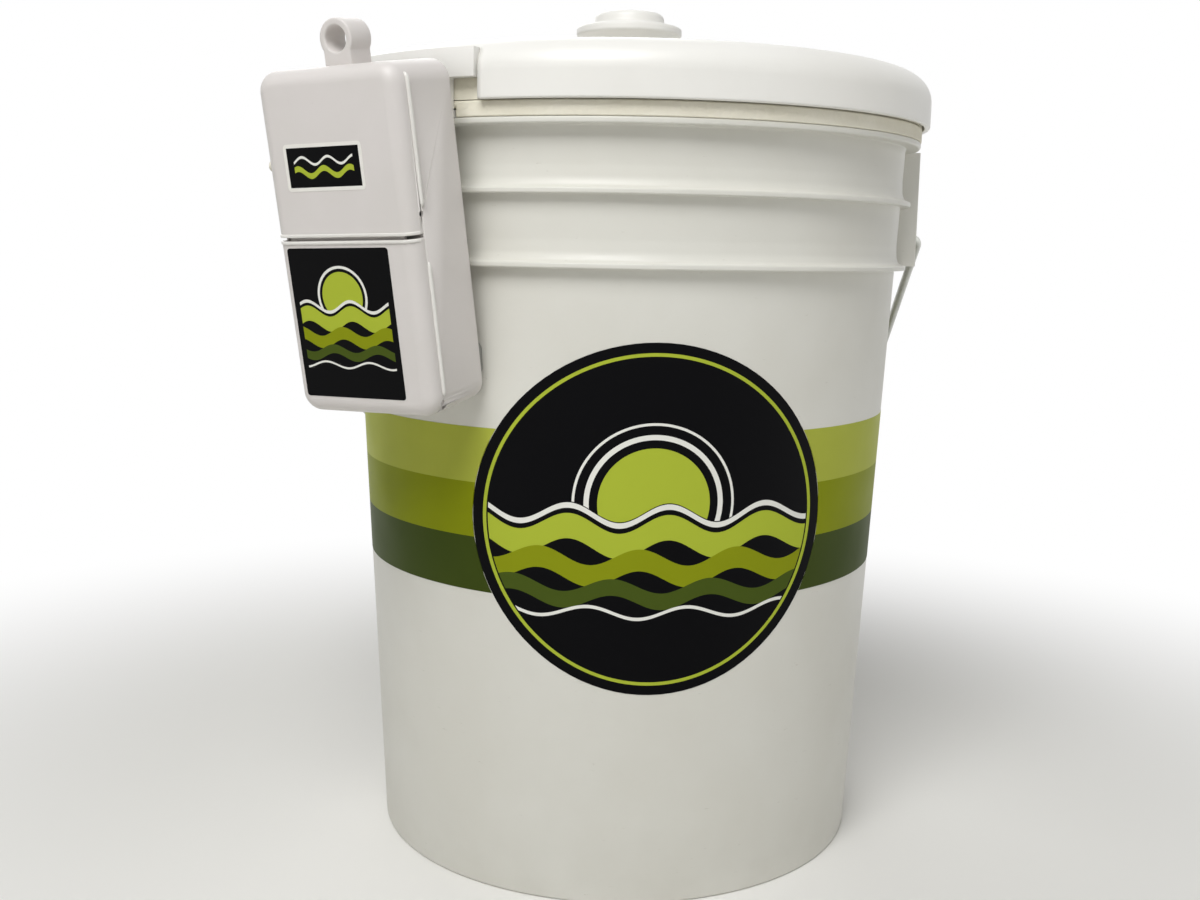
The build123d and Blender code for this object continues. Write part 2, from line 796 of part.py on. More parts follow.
with BuildPart() as pump_cover:
    with BuildSketch(face(tub_depth)):
        housing_outline(0, low=cover_bottom)
    extrude(amount=shell_depth)
    with BuildSketch(face(tub_depth)):
        housing_outline(case_wall, low=partition_top)
    extrude(amount=shell_depth - case_wall, mode=Mode.SUBTRACT)
    inner_front, outer_front = pump_cover.faces().filter_by(out_axis).sort_by(out_axis)[-2:]
    fillet(inner_front.edges(), radius=shell_edge - case_wall)
    fillet(outer_front.edges().sort_by(up_axis)[1:], radius=shell_edge)
    with BuildSketch(face(pump_depth)):
        with Locations((0, cover_bottom + seam_lip_width / 2)):
            Rectangle(pump_width - 2 * shell_edge, seam_lip_width)
    extrude(amount=seam_lip)
    # a tongue that closes the seam from behind
    with BuildSketch(face(pump_depth - case_wall - tongue_fit)):
        with Locations((0, door_top - seam_tongue)):
            Rectangle(
                pump_width - 2 * shell_edge, seam_gap + seam_tongue + case_wall / 2,
                align=(Align.CENTER, Align.MIN),
            )
    extrude(amount=-tongue_thickness)
    with BuildSketch(face(case_wall)):
        with Locations(*post_places(post_high, post_low)):
            Circle(post_radius)
    extrude(amount=pump_depth - 1.5 * case_wall)
    with BuildSketch(face(case_wall)):
        with Locations(*post_places(post_high, post_low)):
            Circle(screw_radius + screw_gap)
    extrude(amount=screw_bite, mode=Mode.SUBTRACT)
pump_cover.part.label = "pump_cover"
export_step(pump_cover.part, "parts/pump_cover.step")

with BuildPart() as battery_door:
    with BuildSketch(face(door_back)):
        housing_outline(0, high=door_top)
    extrude(amount=pump_depth - door_back)
    with BuildSketch(face(door_back)):
        housing_outline(case_wall, high=door_top)
    extrude(amount=pump_depth - door_back - case_wall, mode=Mode.SUBTRACT)
    inner_front, outer_front = battery_door.faces().filter_by(out_axis).sort_by(out_axis)[-2:]
    fillet(inner_front.edges().sort_by(up_axis)[:-1], radius=shell_edge - case_wall)
    fillet(outer_front.edges().sort_by(up_axis)[:-1], radius=shell_edge)
    with BuildSketch(face(pump_depth)):
        with Locations((0, door_top - seam_lip_width / 2)):
            Rectangle(pump_width - 2 * shell_edge, seam_lip_width)
    extrude(amount=seam_lip)
    # hooked rails that run in the case's grooves
    with BuildSketch(level(rail_low)):
        for hand in (-1, 1):
            with BuildLine():
                Polyline(
                    (hand * rail_inner, -rail_back), (hand * hook_outer, -rail_back),
                    (hand * hook_outer, -rail_back - hook_thickness),
                    (hand * rail_outer, -rail_back - hook_thickness), (hand * rail_outer, -door_back),
                    (hand * (inner_width + 0.5), -door_back),
                    (hand * (inner_width + 0.5), -door_back - rail_root),
                    (hand * rail_inner, -door_back - rail_root), close=True,
                )
            make_face()
    extrude(amount=rail_length)
battery_door.part.label = "battery_door"
export_step(battery_door.part, "parts/battery_door.step")

with BuildPart() as pump_gasket:
    with BuildSketch(face(tub_depth - gasket_thickness)):
        housing_outline(case_wall - gasket_width, low=partition_top - gasket_width)
    extrude(amount=gasket_thickness)
    with BuildSketch(face(tub_depth - gasket_thickness)):
        housing_outline(case_wall, low=partition_top)
    extrude(amount=gasket_thickness, mode=Mode.SUBTRACT)
pump_gasket.part.label = "pump_gasket"
export_step(pump_gasket.part, "parts/pump_gasket.step")


# ---- what the battery bay holds: two cells, leaf springs under them and contacts over them ----
for name, place, tip_up in (("left", cell_places[0], True), ("right", cell_places[1], False)):
    with BuildPart() as cell:
        body_low = cell_bottom if tip_up else cell_bottom + cell_tip_length
        with BuildSketch(level(body_low)):
            with Locations((place, -cell_depth)):
                Circle(cell_radius)
        extrude(amount=cell_length)
        fillet(cell.edges().filter_by(GeomType.CIRCLE), radius=cell_edge)
        with BuildSketch(level(cell_top if tip_up else cell_bottom)):
            with Locations((place, -cell_depth)):
                Circle(cell_tip_radius)
        extrude(amount=-cell_tip_length if tip_up else cell_tip_length)
    cell.part.label = f"battery_{name}"
    export_step(cell.part, f"parts/battery_{name}.step")

with BuildPart() as contact_springs:
    for place in cell_places:
        with BuildSketch(face(cell_depth - contact_width / 2)):
            with BuildLine() as leaf:
                half = contact_thickness / 2
                Polyline(
                    (place + leaf_reach, bay_floor + half), (place - leaf_reach, bay_floor + half),
                    (place - leaf_top, cell_bottom - half), (place + leaf_top, cell_bottom - half),
                    (place + leaf_reach, cell_bottom - leaf_drop),
                )
            trace(leaf.line.edges(), line_width=contact_thickness)
        extrude(amount=contact_width)
contact_springs.part.label = "contact_springs"
export_step(contact_springs.part, "parts/contact_springs.step")

with BuildPart() as contact_plates:
    with BuildSketch(level(partition_low)):
        with Locations(*[(place, -cell_depth) for place in cell_places]):
            Rectangle(2 * leaf_reach, contact_width)
    extrude(amount=-contact_thickness)
    with BuildSketch(level(partition_low)):
        with Locations(*[(place, -cell_depth) for place in cell_places]):
            Circle(contact_boss_radius)
    extrude(amount=-(partition_low - cell_top))
contact_plates.part.label = "contact_plates"
export_step(contact_plates.part, "parts/contact_plates.step")


# ---- what the pump bay holds: motor, crank, rod, diaphragm and valve head on a chassis ----
with BuildPart() as chassis:
    with BuildSketch(face(case_wall)):
        with Locations(((head_left + chassis_right) / 2, works_height)):
            Rectangle(chassis_right - head_left, chassis_height)
    extrude(amount=chassis_thickness)
    with BuildSketch(face(motor_back)):
        with Locations((motor_offset, works_height)):
            Circle(motor_radius + cradle_gap + cradle_wall)
            Circle(motor_radius + cradle_gap, mode=Mode.SUBTRACT)
            Rectangle(cradle_split, 3 * motor_radius, mode=Mode.SUBTRACT)
    extrude(amount=cradle_depth)
    with BuildSketch(face(case_wall)):
        with Locations(*chassis_screw_places):
            Circle(small_screw_radius + screw_gap)
    extrude(amount=chassis_thickness, mode=Mode.SUBTRACT)
chassis.part.label = "chassis"
export_step(chassis.part, "parts/chassis.step")

with BuildPart() as motor:
    with BuildSketch(face(motor_back)):
        with Locations((motor_offset, works_height)):
            Circle(motor_radius)
    extrude(amount=motor_length)
    fillet(motor.edges().filter_by(GeomType.CIRCLE).sort_by(out_axis)[-1], radius=1.2)
    with BuildSketch(face(motor_front)):
        with Locations((motor_offset, works_height)):
            Circle(motor_boss_radius)
    extrude(amount=motor_boss_length)
motor.part.label = "motor"
export_step(motor.part, "parts/motor.step")

with BuildPart() as crank_disc:
    shaft_start = motor_front + motor_boss_length
    with BuildSketch(face(shaft_start)):
        with Locations((motor_offset, works_height)):
            Circle(shaft_radius)
    extrude(amount=crank_back - shaft_start)
    with BuildSketch(face(crank_back)):
        with Locations((motor_offset, works_height)):
            Circle(crank_radius)
    extrude(amount=crank_thickness)
    with BuildSketch(face(crank_back + crank_thickness)):
        with Locations((motor_offset + crank_throw, works_height)):
            Circle(crank_pin_radius)
    extrude(amount=crank_pin_length)
crank_disc.part.label = "crank_disc"
export_step(crank_disc.part, "parts/crank_disc.step")

with BuildPart() as connecting_rod:
    rod_eye = motor_offset + crank_throw
    with BuildSketch(face(rod_back)):
        with Locations((rod_eye, works_height)):
            Circle(rod_eye_radius)
        with Locations((rod_tip, works_height)):
            Circle(rod_tip_radius)
        with Locations(((rod_eye + rod_tip) / 2, works_height)):
            Rectangle(rod_eye - rod_tip, rod_width)
        with Locations((rod_eye, works_height)):
            Circle(crank_pin_radius + rod_fit, mode=Mode.SUBTRACT)
    extrude(amount=rod_thickness)
connecting_rod.part.label = "connecting_rod"
export_step(connecting_rod.part, "parts/connecting_rod.step")

with BuildPart() as diaphragm:
    with BuildSketch(side(head_face)):
        with Locations((-rod_middle, works_height)):
            Circle(diaphragm_radius)
    extrude(amount=diaphragm_thickness)
    fillet(diaphragm.edges().filter_by(GeomType.CIRCLE).sort_by(across_axis)[-1], radius=1.5)
    with BuildSketch(side(head_face + diaphragm_thickness)):
        with Locations((-rod_middle, works_height)):
            Circle(cup_radius + diaphragm_cup_wall)
            Circle(cup_radius, mode=Mode.SUBTRACT)
    extrude(amount=diaphragm_cup_depth)
diaphragm.part.label = "diaphragm"
export_step(diaphragm.part, "parts/diaphragm.step")

with BuildPart() as pump_head:
    with BuildSketch(face(motor_back)):
        with Locations(((head_left + head_face) / 2, works_height)):
            Rectangle(head_width, head_height)
    extrude(amount=head_depth)
    fillet(pump_head.edges().filter_by(out_axis).sort_by(across_axis)[:2], radius=2.0)
    with BuildSketch(side(head_left)):
        with Locations((-rod_middle, works_height)):
            Circle(outlet_bore)
    extrude(amount=head_width / 2, mode=Mode.SUBTRACT)
pump_head.part.label = "pump_head"
export_step(pump_head.part, "parts/pump_head.step")

with BuildPart() as outlet_nipple:
    with BuildSketch(side(head_left)):
        with Locations((-rod_middle, works_height)):
            Circle(outlet_flange_radius)
    extrude(amount=-outlet_flange)
    with BuildSketch(side(-inner_width)):
        with Locations((-rod_middle, works_height)):
            Circle(outlet_root_radius)
    extrude(amount=-case_wall)
    with BuildSketch(side(-half_width)):
        with Locations((-rod_middle, works_height)):
            Circle(outlet_radius)
    extrude(amount=-outlet_length)
    chamfer(outlet_nipple.edges().filter_by(GeomType.CIRCLE).sort_by(across_axis)[0], length=0.4)
    with BuildSketch(side(head_left)):
        with Locations((-rod_middle, works_height)):
            Circle(outlet_bore)
    extrude(amount=-outlet_flange - case_wall - outlet_length, mode=Mode.SUBTRACT)
outlet_nipple.part.label = "outlet_nipple"
export_step(outlet_nipple.part, "parts/outlet_nipple.step")

with BuildPart() as chassis_screws:
    with BuildSketch(face(motor_back)):
        with Locations(*chassis_screw_places):
            Circle(small_head_radius)
    extrude(amount=small_head_height)
    with BuildSketch(face(motor_back)):
        with Locations(*chassis_screw_places):
            Circle(small_screw_radius)
    extrude(amount=-chassis_thickness - small_screw_bite)
chassis_screws.part.label = "chassis_screws"
export_step(chassis_screws.part, "parts/chassis_screws.step")

with BuildPart() as switch_body:
    with BuildSketch(side(switch_left)):
        with Locations((-switch_depth, switch_height)):
            Rectangle(switch_body_depth, switch_size)
    extrude(amount=switch_body_width)
switch_body.part.label = "switch_body"
export_step(switch_body.part, "parts/switch_body.step")

with BuildPart() as switch_slider:
    with BuildSketch(side(switch_left - slider_gap)):
        with Locations((-switch_depth, switch_height)):
            Rectangle(switch_knob, switch_knob)
    extrude(amount=-case_wall - switch_knob_rise)
    grip_face = switch_slider.faces().filter_by(across_axis).sort_by(across_axis)[0]
    chamfer(grip_face.edges(), length=0.5)
    with BuildSketch(side(-half_width - switch_knob_rise)):
        with Locations((-switch_depth, switch_height)):
            with GridLocations(1, 1.5, 1, 2):
                Rectangle(switch_knob, 0.6)
    extrude(amount=0.5, mode=Mode.SUBTRACT)
switch_slider.part.label = "switch_slider"
export_step(switch_slider.part, "parts/switch_slider.step")


# ---- hanger: a plate on the pump's back, a neck, and a hook over the pail's rim ----
with BuildPart() as pump_hanger:
    with BuildSketch(face(0)):
        with Locations(((plate_left + plate_right) / 2, (plate_low + plate_high) / 2)):
            RectangleRounded(plate_right - plate_left, plate_high - plate_low, 5.0)
    extrude(amount=-hanger_plate)
    with BuildSketch(face(-hanger_plate / 2)):
        with Locations((neck_middle, (hanger_neck_low + hanger_neck_high) / 2)):
            Rectangle(neck_width, hanger_neck_high - hanger_neck_low)
            Rectangle(
                neck_width - 2 * neck_wall, hanger_neck_high - hanger_neck_low, mode=Mode.SUBTRACT
            )
        with Locations((neck_middle, hanger_neck_high - neck_wall / 2)):
            Rectangle(neck_width, neck_wall)
        with Locations((neck_middle, hanger_neck_low + neck_wall / 2)):
            Rectangle(neck_width, neck_wall)
        with Locations((neck_middle, (hanger_neck_low + hanger_neck_high) / 2)):
            Rectangle(neck_width, neck_wall)
    extrude(amount=-neck_reach)
    with BuildSketch(Plane.XY.offset(leg_low)):
        Circle(leg_inner + hanger_thickness / 2)
    extrude(amount=hanger_top - leg_low, mode=Mode.SUBTRACT)
    hook = outline(
        [
            (lip_inner, pail_height - hanger_lip_depth), (lip_outer, pail_height - hanger_lip_depth),
            (lip_outer, pail_height), (leg_inner, pail_height), (leg_inner, leg_low),
            (leg_outer, leg_low), (leg_outer, hanger_top), (leg_inner, hanger_top),
            (leg_inner, bridge_top), (lip_inner, bridge_top),
        ],
        radial_plane(pump_direction - hanger_arc / 2),
    )
    revolve(hook, axis=Axis.Z, revolution_arc=hanger_arc)
    wing_low = hanger_top - hanger_wing_height
    wing = outline(
        [
            (leg_inner, wing_low), (hanger_wing_radius, wing_low),
            (hanger_wing_radius, hanger_top), (leg_inner, hanger_top),
        ],
        radial_plane(pump_direction - hanger_wing_arc / 2),
    )
    revolve(wing, axis=Axis.Z, revolution_arc=hanger_wing_arc)
    with BuildSketch(face(0)):
        with Locations(*post_places(post_high, post_low)):
            Circle(screw_radius + screw_gap)
    extrude(amount=-hanger_plate, mode=Mode.SUBTRACT)
pump_hanger.part.label = "pump_hanger"
export_step(pump_hanger.part, "parts/pump_hanger.step")

with BuildPart() as case_screws:
    with BuildSketch(face(-hanger_plate)):
        with Locations(*post_places(post_high, post_low)):
            Circle(small_head_radius)
    extrude(amount=-small_head_height)
    with BuildSketch(face(-hanger_plate)):
        with Locations(*post_places(post_high, post_low)):
            Circle(screw_radius)
    extrude(amount=hanger_plate + case_wall + screw_bite - 1)
case_screws.part.label = "case_screws"
export_step(case_screws.part, "parts/case_screws.step")

with BuildPart() as pump_bumper:
    with BuildSketch(face(0)):
        with Locations(((bumper_left + bumper_right) / 2, (bumper_low + bumper_high) / 2)):
            RectangleRounded(bumper_right - bumper_left, bumper_high - bumper_low, 4.0)
    extrude(amount=-bumper_reach)
    room_low = pump_middle - pump_height
    room = outline(
        [
            (0, room_low), (wall_radius(room_low) + bumper_gap, room_low),
            (wall_radius(pump_middle) + bumper_gap, pump_middle), (0, pump_middle),
        ]
    )
    revolve(room, axis=Axis.Z, mode=Mode.SUBTRACT)
pump_bumper.part.label = "pump_bumper"
export_step(pump_bumper.part, "parts/pump_bumper.step")


# ---- labels on the pump's front ----
with BuildPart() as door_label:
    with BuildSketch(face(pump_depth)):
        with Locations((door_label_offset, door_label_middle)):
            RectangleRounded(door_label_width, door_label_height, label_corner)
    extrude(amount=label_thickness)
door_label.part.label = "door_label"
export_step(door_label.part, "parts/door_label.step")

with BuildPart() as cover_badge:
    with BuildSketch(face(pump_depth)):
        with Locations((badge_offset, badge_middle)):
            RectangleRounded(badge_width, badge_height, label_corner)
    extrude(amount=label_thickness)
cover_badge.part.label = "cover_badge"
export_step(cover_badge.part, "parts/cover_badge.step")
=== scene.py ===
import json
import math

import bmesh
import bpy
import numpy as np
from mathutils import Matrix, Vector


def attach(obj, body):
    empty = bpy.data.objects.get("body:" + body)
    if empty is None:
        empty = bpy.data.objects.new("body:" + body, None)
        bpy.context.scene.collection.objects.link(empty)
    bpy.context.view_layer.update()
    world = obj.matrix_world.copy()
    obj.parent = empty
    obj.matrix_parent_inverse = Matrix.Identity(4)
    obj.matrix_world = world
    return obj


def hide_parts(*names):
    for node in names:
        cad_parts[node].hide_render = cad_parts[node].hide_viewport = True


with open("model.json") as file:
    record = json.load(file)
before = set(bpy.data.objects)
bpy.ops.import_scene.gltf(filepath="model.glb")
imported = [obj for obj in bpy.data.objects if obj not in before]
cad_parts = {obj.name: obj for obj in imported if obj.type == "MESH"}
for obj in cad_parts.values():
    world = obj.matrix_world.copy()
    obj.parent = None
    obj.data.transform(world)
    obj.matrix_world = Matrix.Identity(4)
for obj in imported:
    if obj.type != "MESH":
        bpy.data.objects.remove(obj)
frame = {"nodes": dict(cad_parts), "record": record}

# a lidded bait pail with a clip-on air pump: surfaces, finishes, studio and camera
mm = 0.001
scene = bpy.context.scene
scene.view_settings.view_transform = "Standard"
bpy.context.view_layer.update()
nodes = frame["nodes"]
print("frame loaded:", len(nodes), "nodes")


# ---------- small tools ----------
def linearColour(hexCode):
    # sRGB hex to linear RGBA
    channels = np.array([int(hexCode[i:i + 2], 16) / 255 for i in (1, 3, 5)])
    linear = np.where(channels <= 0.04045, channels / 12.92, ((channels + 0.055) / 1.055) ** 2.4)
    return (*linear.tolist(), 1.0)


def roundedPath(corners, radii, steps=6, guard=0.4, closed=True):
    # a polyline whose corners are circular arcs, with guard points just past each arc
    corners = np.array(corners, float)
    count = len(corners)
    path = []
    for i in range(count):
        here = corners[i]
        if not closed and i in (0, count - 1):
            path.append(here[None])
            continue
        before, after = corners[i - 1] - here, corners[(i + 1) % count] - here
        lengthBefore, lengthAfter = np.linalg.norm(before), np.linalg.norm(after)
        before, after = before / lengthBefore, after / lengthAfter
        half = math.acos(np.clip(before @ after, -1, 1)) / 2
        if radii[i] <= 0 or half > math.pi / 2 - 0.01:
            path.append(here[None])
            continue
        setback = radii[i] / math.tan(half)
        middle = (before + after) / np.linalg.norm(before + after)
        centre = here + middle * radii[i] / math.sin(half)
        start, end = here + before * setback - centre, here + after * setback - centre
        sweep = math.pi - 2 * half
        t = np.linspace(0, 1, steps + 1)[:, None]
        arc = centre + (np.sin((1 - t) * sweep) * start + np.sin(t * sweep) * end) / math.sin(sweep)
        ends = [arc]
        if lengthBefore - setback > 3 * guard:
            ends.insert(0, (here + before * (setback + guard))[None])
        if lengthAfter - setback > 3 * guard:
            ends.append((here + after * (setback + guard))[None])
        path.append(np.vstack(ends))
    return np.vstack(path)


def gridFaces(rows, columns, closeRows, closeColumns):
    # quads over a grid of points numbered row by row
    r = np.arange(rows if closeRows else rows - 1)
    c = np.arange(columns if closeColumns else columns - 1)
    r, c = np.meshgrid(r, c, indexing="ij")
    nextR, nextC = (r + 1) % rows, (c + 1) % columns
    quads = np.stack([r * columns + c, nextR * columns + c, nextR * columns + nextC, r * columns + nextC], -1)
    return quads.reshape(-1, 4)


def makePiece(name, points, faces, material, body, replaces=(), caps=()):
    # one mesh from an array of points in mm, smooth, riding on a body
    mesh = bpy.data.meshes.new(name)
    mesh.from_pydata((points.reshape(-1, 3) * mm).tolist(), [], faces.tolist() + [list(c) for c in caps])
    mesh.polygons.foreach_set("use_smooth", np.ones(len(mesh.polygons), bool))
    mesh.materials.append(material)
    piece = bpy.data.objects.new(name, mesh)
    scene.collection.objects.link(piece)
    facingOut(mesh)
    mesh.set_sharp_from_angle(angle=math.radians(38))
    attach(piece, body)
    if replaces:
        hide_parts(*replaces)
    return piece


def facingOut(mesh):
    # turns the faces outwards when the mesh's signed volume says they point in
    mesh.calc_loop_triangles()
    places = np.empty(len(mesh.vertices) * 3)
    mesh.vertices.foreach_get("co", places)
    corners = np.empty(len(mesh.loop_triangles) * 3, int)
    mesh.loop_triangles.foreach_get("vertices", corners)
    a, b, c = places.reshape(-1, 3)[corners].reshape(-1, 3, 3).transpose(1, 0, 2)
    if np.einsum("ij,ij->", a, np.cross(b, c)) < 0:
        mesh.flip_normals()


def turned(name, profile, material, body, replaces=(), segments=240, centre=(0, 0), place=None, closed=True):
    # a closed profile of (radius, height) points carried round the z axis
    turn = np.linspace(0, 2 * math.pi, segments, endpoint=False)[:, None]
    radius, height = profile[:, 0][None], profile[:, 1][None]
    points = np.stack([radius * np.cos(turn), radius * np.sin(turn), height + 0 * turn], -1)
    rows, columns = points.shape[:2]
    faces = gridFaces(rows, columns, True, closed)
    caps = []
    if not closed:  # an open profile that starts and ends near the axis is capped there
        caps = [np.arange(rows) * columns, np.arange(rows)[::-1] * columns + columns - 1]
    points = points + np.array([centre[0], centre[1], 0])
    if place is not None:
        points = place(points)
    return makePiece(name, points, faces, material, body, replaces, caps)


def loft(name, rows, material, body, replaces=()):
    # a skin over rows of points that each close on themselves, with a flat face over each end
    count, columns = rows.shape[:2]
    caps = [np.arange(columns), np.arange(columns)[::-1] + (count - 1) * columns]
    return makePiece(name, rows, gridFaces(count, columns, False, True), material, body, replaces, caps)


def tube(name, path, radius, normal, material, body, replaces=(), sides=20, bulge=None, place=None):
    # a round section carried along a flat path; normal is the path plane's own normal
    path = np.array(path, float)
    along = np.gradient(path, axis=0)
    along /= np.linalg.norm(along, axis=1)[:, None]
    inPlane = np.cross(normal, along)
    inPlane /= np.linalg.norm(inPlane, axis=1)[:, None]
    turn = np.linspace(0, 2 * math.pi, sides, endpoint=False)
    size = radius if bulge is None else bulge[:, None, None]
    ring = np.cos(turn)[None, :, None] * inPlane[:, None] + np.sin(turn)[None, :, None] * np.array(normal)[None, None]
    points = path[:, None] + size * ring
    return loft(name, points if place is None else place(points), material, body, replaces)


def modifier(piece, kind, **settings):
    # adds a modifier and applies it, so that the mesh is final
    added = piece.modifiers.new(kind.title(), kind)
    for key, value in settings.items():
        setattr(added, key, value)
    bpy.context.view_layer.objects.active = piece
    with bpy.context.temp_override(object=piece, active_object=piece, selected_objects=[piece]):
        bpy.ops.object.modifier_apply(modifier=added.name)
    return piece


def softened(piece, width):
    # a small bevel on every sharp edge, so that edges catch the light
    return modifier(piece, "BEVEL", width=width * mm, segments=2, limit_method="ANGLE", angle_limit=math.radians(50))


def addNode(tree, kind, links=None, **settings):
    # one node with its settings; links maps an input to a value or to another node's output
    node = tree.nodes.new(kind)
    for key, value in settings.items():
        setattr(node, key, value)
    for socket, value in (links or {}).items():
        if isinstance(value, bpy.types.NodeSocket):
            tree.links.new(value, node.inputs[socket])
        else:
            node.inputs[socket].default_value = value
    return node


# ---------- the sizes that the frame was built on ----------
pail = {
    "footRadius": 130.5, "taper": 0.045, "wall": 2.4, "height": 370.0, "rimRadius": 154.5, "rimThickness": 3.0,
    "rings": ((149.8, 307.5), (150.8, 340.0)), "ringThickness": 2.4, "ringSlope": 4.0,
    "floorLow": 6.0, "floorThickness": 3.0, "footRing": 5.0, "earHeight": 322.5, "earReach": 158.0, "earRadius": 9.0,
    "ringFillet": 10.0,
}
pump = {
    "azimuth": 44.3, "facing": 32.0, "tilt": 9.3, "roll": -1.4, "backRadius": 160.7, "middle": 319.0,
    "width": 75.0, "height": 149.8, "depth": 40.7, "shell": 7.4, "wall": 2.2, "corner": 9.0, "edge": 6.6,
    "seam": 3.7, "seamGap": 1.6, "backEdge": 3.0,
}


def wallRadius(height):
    return pail["footRadius"] + pail["taper"] * height


def pumpAxes():
    # across the front, up, and out of the front, as unit vectors, with the middle of the back
    facing, tilt, roll, azimuth = (math.radians(pump[k]) for k in ("facing", "tilt", "roll", "azimuth"))
    out = np.array([-math.sin(facing), -math.cos(facing), 0])
    across = np.array([math.cos(facing), -math.sin(facing), 0])
    leaning = np.array([0, 0, 1]) * math.cos(tilt) + out * math.sin(tilt)
    up = leaning * math.cos(roll) + across * math.sin(roll)
    across = across * math.cos(roll) - leaning * math.sin(roll)
    origin = np.array([-math.sin(azimuth), -math.cos(azimuth), 0]) * pump["backRadius"]
    origin[2] = pump["middle"]
    return origin, across, up, np.cross(across, up)


pumpOrigin, pumpAcross, pumpUp, pumpOut = pumpAxes()


def onPump(points):
    # from (across, up, out of the back) to the row's frame
    return pumpOrigin + points[..., :1] * pumpAcross + points[..., 1:2] * pumpUp + points[..., 2:] * pumpOut


# ---------- finishes ----------
def finish(name, colour, roughness, second=None, mottle=(40, 0.35), spread=0.1, grain=(0.5, 0.006),
           beads=None, scuff=None, edge=None, lowDarkening=None, **sockets):
    # a Principled surface: mottled colour, clouded roughness, fine bump, and where asked wear, patchy darkening low
    # down and a painted highlight along ridges; sizes in mm
    material = bpy.data.materials.new(name)
    material.use_nodes = True
    tree = material.node_tree
    shader = tree.nodes["Principled BSDF"]
    place = addNode(tree, "ShaderNodeTexCoord").outputs["Object"]
    cloud = addNode(tree, "ShaderNodeTexNoise", {"Vector": place, "Scale": 1 / (mottle[0] * mm), "Detail": 4.0}).outputs[0]
    share = addNode(tree, "ShaderNodeMapRange", {0: cloud, 1: 0.35, 2: 0.65, 3: 0.0, 4: mottle[1]}).outputs[0]
    base = addNode(tree, "ShaderNodeMix", {0: share, 6: linearColour(colour), 7: linearColour(second or colour)},
                   data_type="RGBA").outputs[2]
    rough = addNode(tree, "ShaderNodeMapRange",
                    {0: cloud, 1: 0.3, 2: 0.7, 3: roughness - spread / 2, 4: roughness + spread / 2}).outputs[0]
    if lowDarkening:  # patchy darkening that thins out upwards from the ground: hex, height in mm, strength
        height = addNode(tree, "ShaderNodeSeparateXYZ", {0: place}).outputs[2]
        low = addNode(tree, "ShaderNodeMapRange", {0: height, 1: 0.0, 2: lowDarkening[1] * mm, 3: lowDarkening[2], 4: 0.0}).outputs[0]
        patches = addNode(tree, "ShaderNodeTexNoise", {"Vector": place, "Scale": 60.0, "Detail": 6.0}).outputs[0]
        low = addNode(tree, "ShaderNodeMath", {0: low, 1: patches}, operation="MULTIPLY").outputs[0]
        base = addNode(tree, "ShaderNodeMix", {0: low, 6: base, 7: linearColour(lowDarkening[0])}, data_type="RGBA").outputs[2]
    if scuff:  # short rubbed streaks: hex, length in mm, threshold, stretch along z
        squeezed = addNode(tree, "ShaderNodeMapping", {0: place, 3: (1.0, 1.0, scuff[3])}).outputs[0]
        streak = addNode(tree, "ShaderNodeTexNoise",
                         {"Vector": squeezed, "Scale": 1 / (scuff[1] * mm), "Detail": 8.0, "Roughness": 0.7}).outputs[0]
        rubbed = addNode(tree, "ShaderNodeMapRange", {0: streak, 1: scuff[2], 2: scuff[2] + 0.05, 3: 0.0, 4: 0.55}).outputs[0]
        base = addNode(tree, "ShaderNodeMix", {0: rubbed, 6: base, 7: linearColour(scuff[0])}, data_type="RGBA").outputs[2]
        rough = addNode(tree, "ShaderNodeMath", {0: rubbed, 1: 0.25, 2: rough}, operation="MULTIPLY_ADD").outputs[0]
    if edge:  # colour mixed in along convex ridges; lighter, it is a painted highlight: hex, threshold, strength
        paintedRidgeHighlight = addNode(tree, "ShaderNodeNewGeometry").outputs["Pointiness"]
        paintedRidgeHighlight = addNode(tree, "ShaderNodeMapRange", {0: paintedRidgeHighlight, 1: edge[1], 2: edge[1] + 0.08, 3: 0.0, 4: edge[2]}).outputs[0]
        base = addNode(tree, "ShaderNodeMix", {0: paintedRidgeHighlight, 6: base, 7: linearColour(edge[0])}, data_type="RGBA").outputs[2]
    tree.links.new(base, shader.inputs["Base Color"])
    tree.links.new(rough, shader.inputs["Roughness"])
    if beads:  # expanded beads pressed together: size and depth in mm
        cells = addNode(tree, "ShaderNodeTexVoronoi", {"Vector": place, "Scale": 1 / (beads[0] * mm)}).outputs["Distance"]
        swell = addNode(tree, "ShaderNodeMath", {0: cells, 1: 2.0}, operation="POWER").outputs[0]
        relief = addNode(tree, "ShaderNodeBump", {"Height": swell, "Distance": beads[1] * mm}, invert=True)
    else:
        fine = addNode(tree, "ShaderNodeTexNoise", {"Vector": place, "Scale": 1 / (grain[0] * mm), "Detail": 3.0}).outputs[0]
        relief = addNode(tree, "ShaderNodeBump", {"Height": fine, "Distance": grain[1] * mm})
    tree.links.new(relief.outputs[0], shader.inputs["Normal"])
    for socket, value in sockets.items():
        shader.inputs[socket.replace("_", " ")].default_value = value
    return material


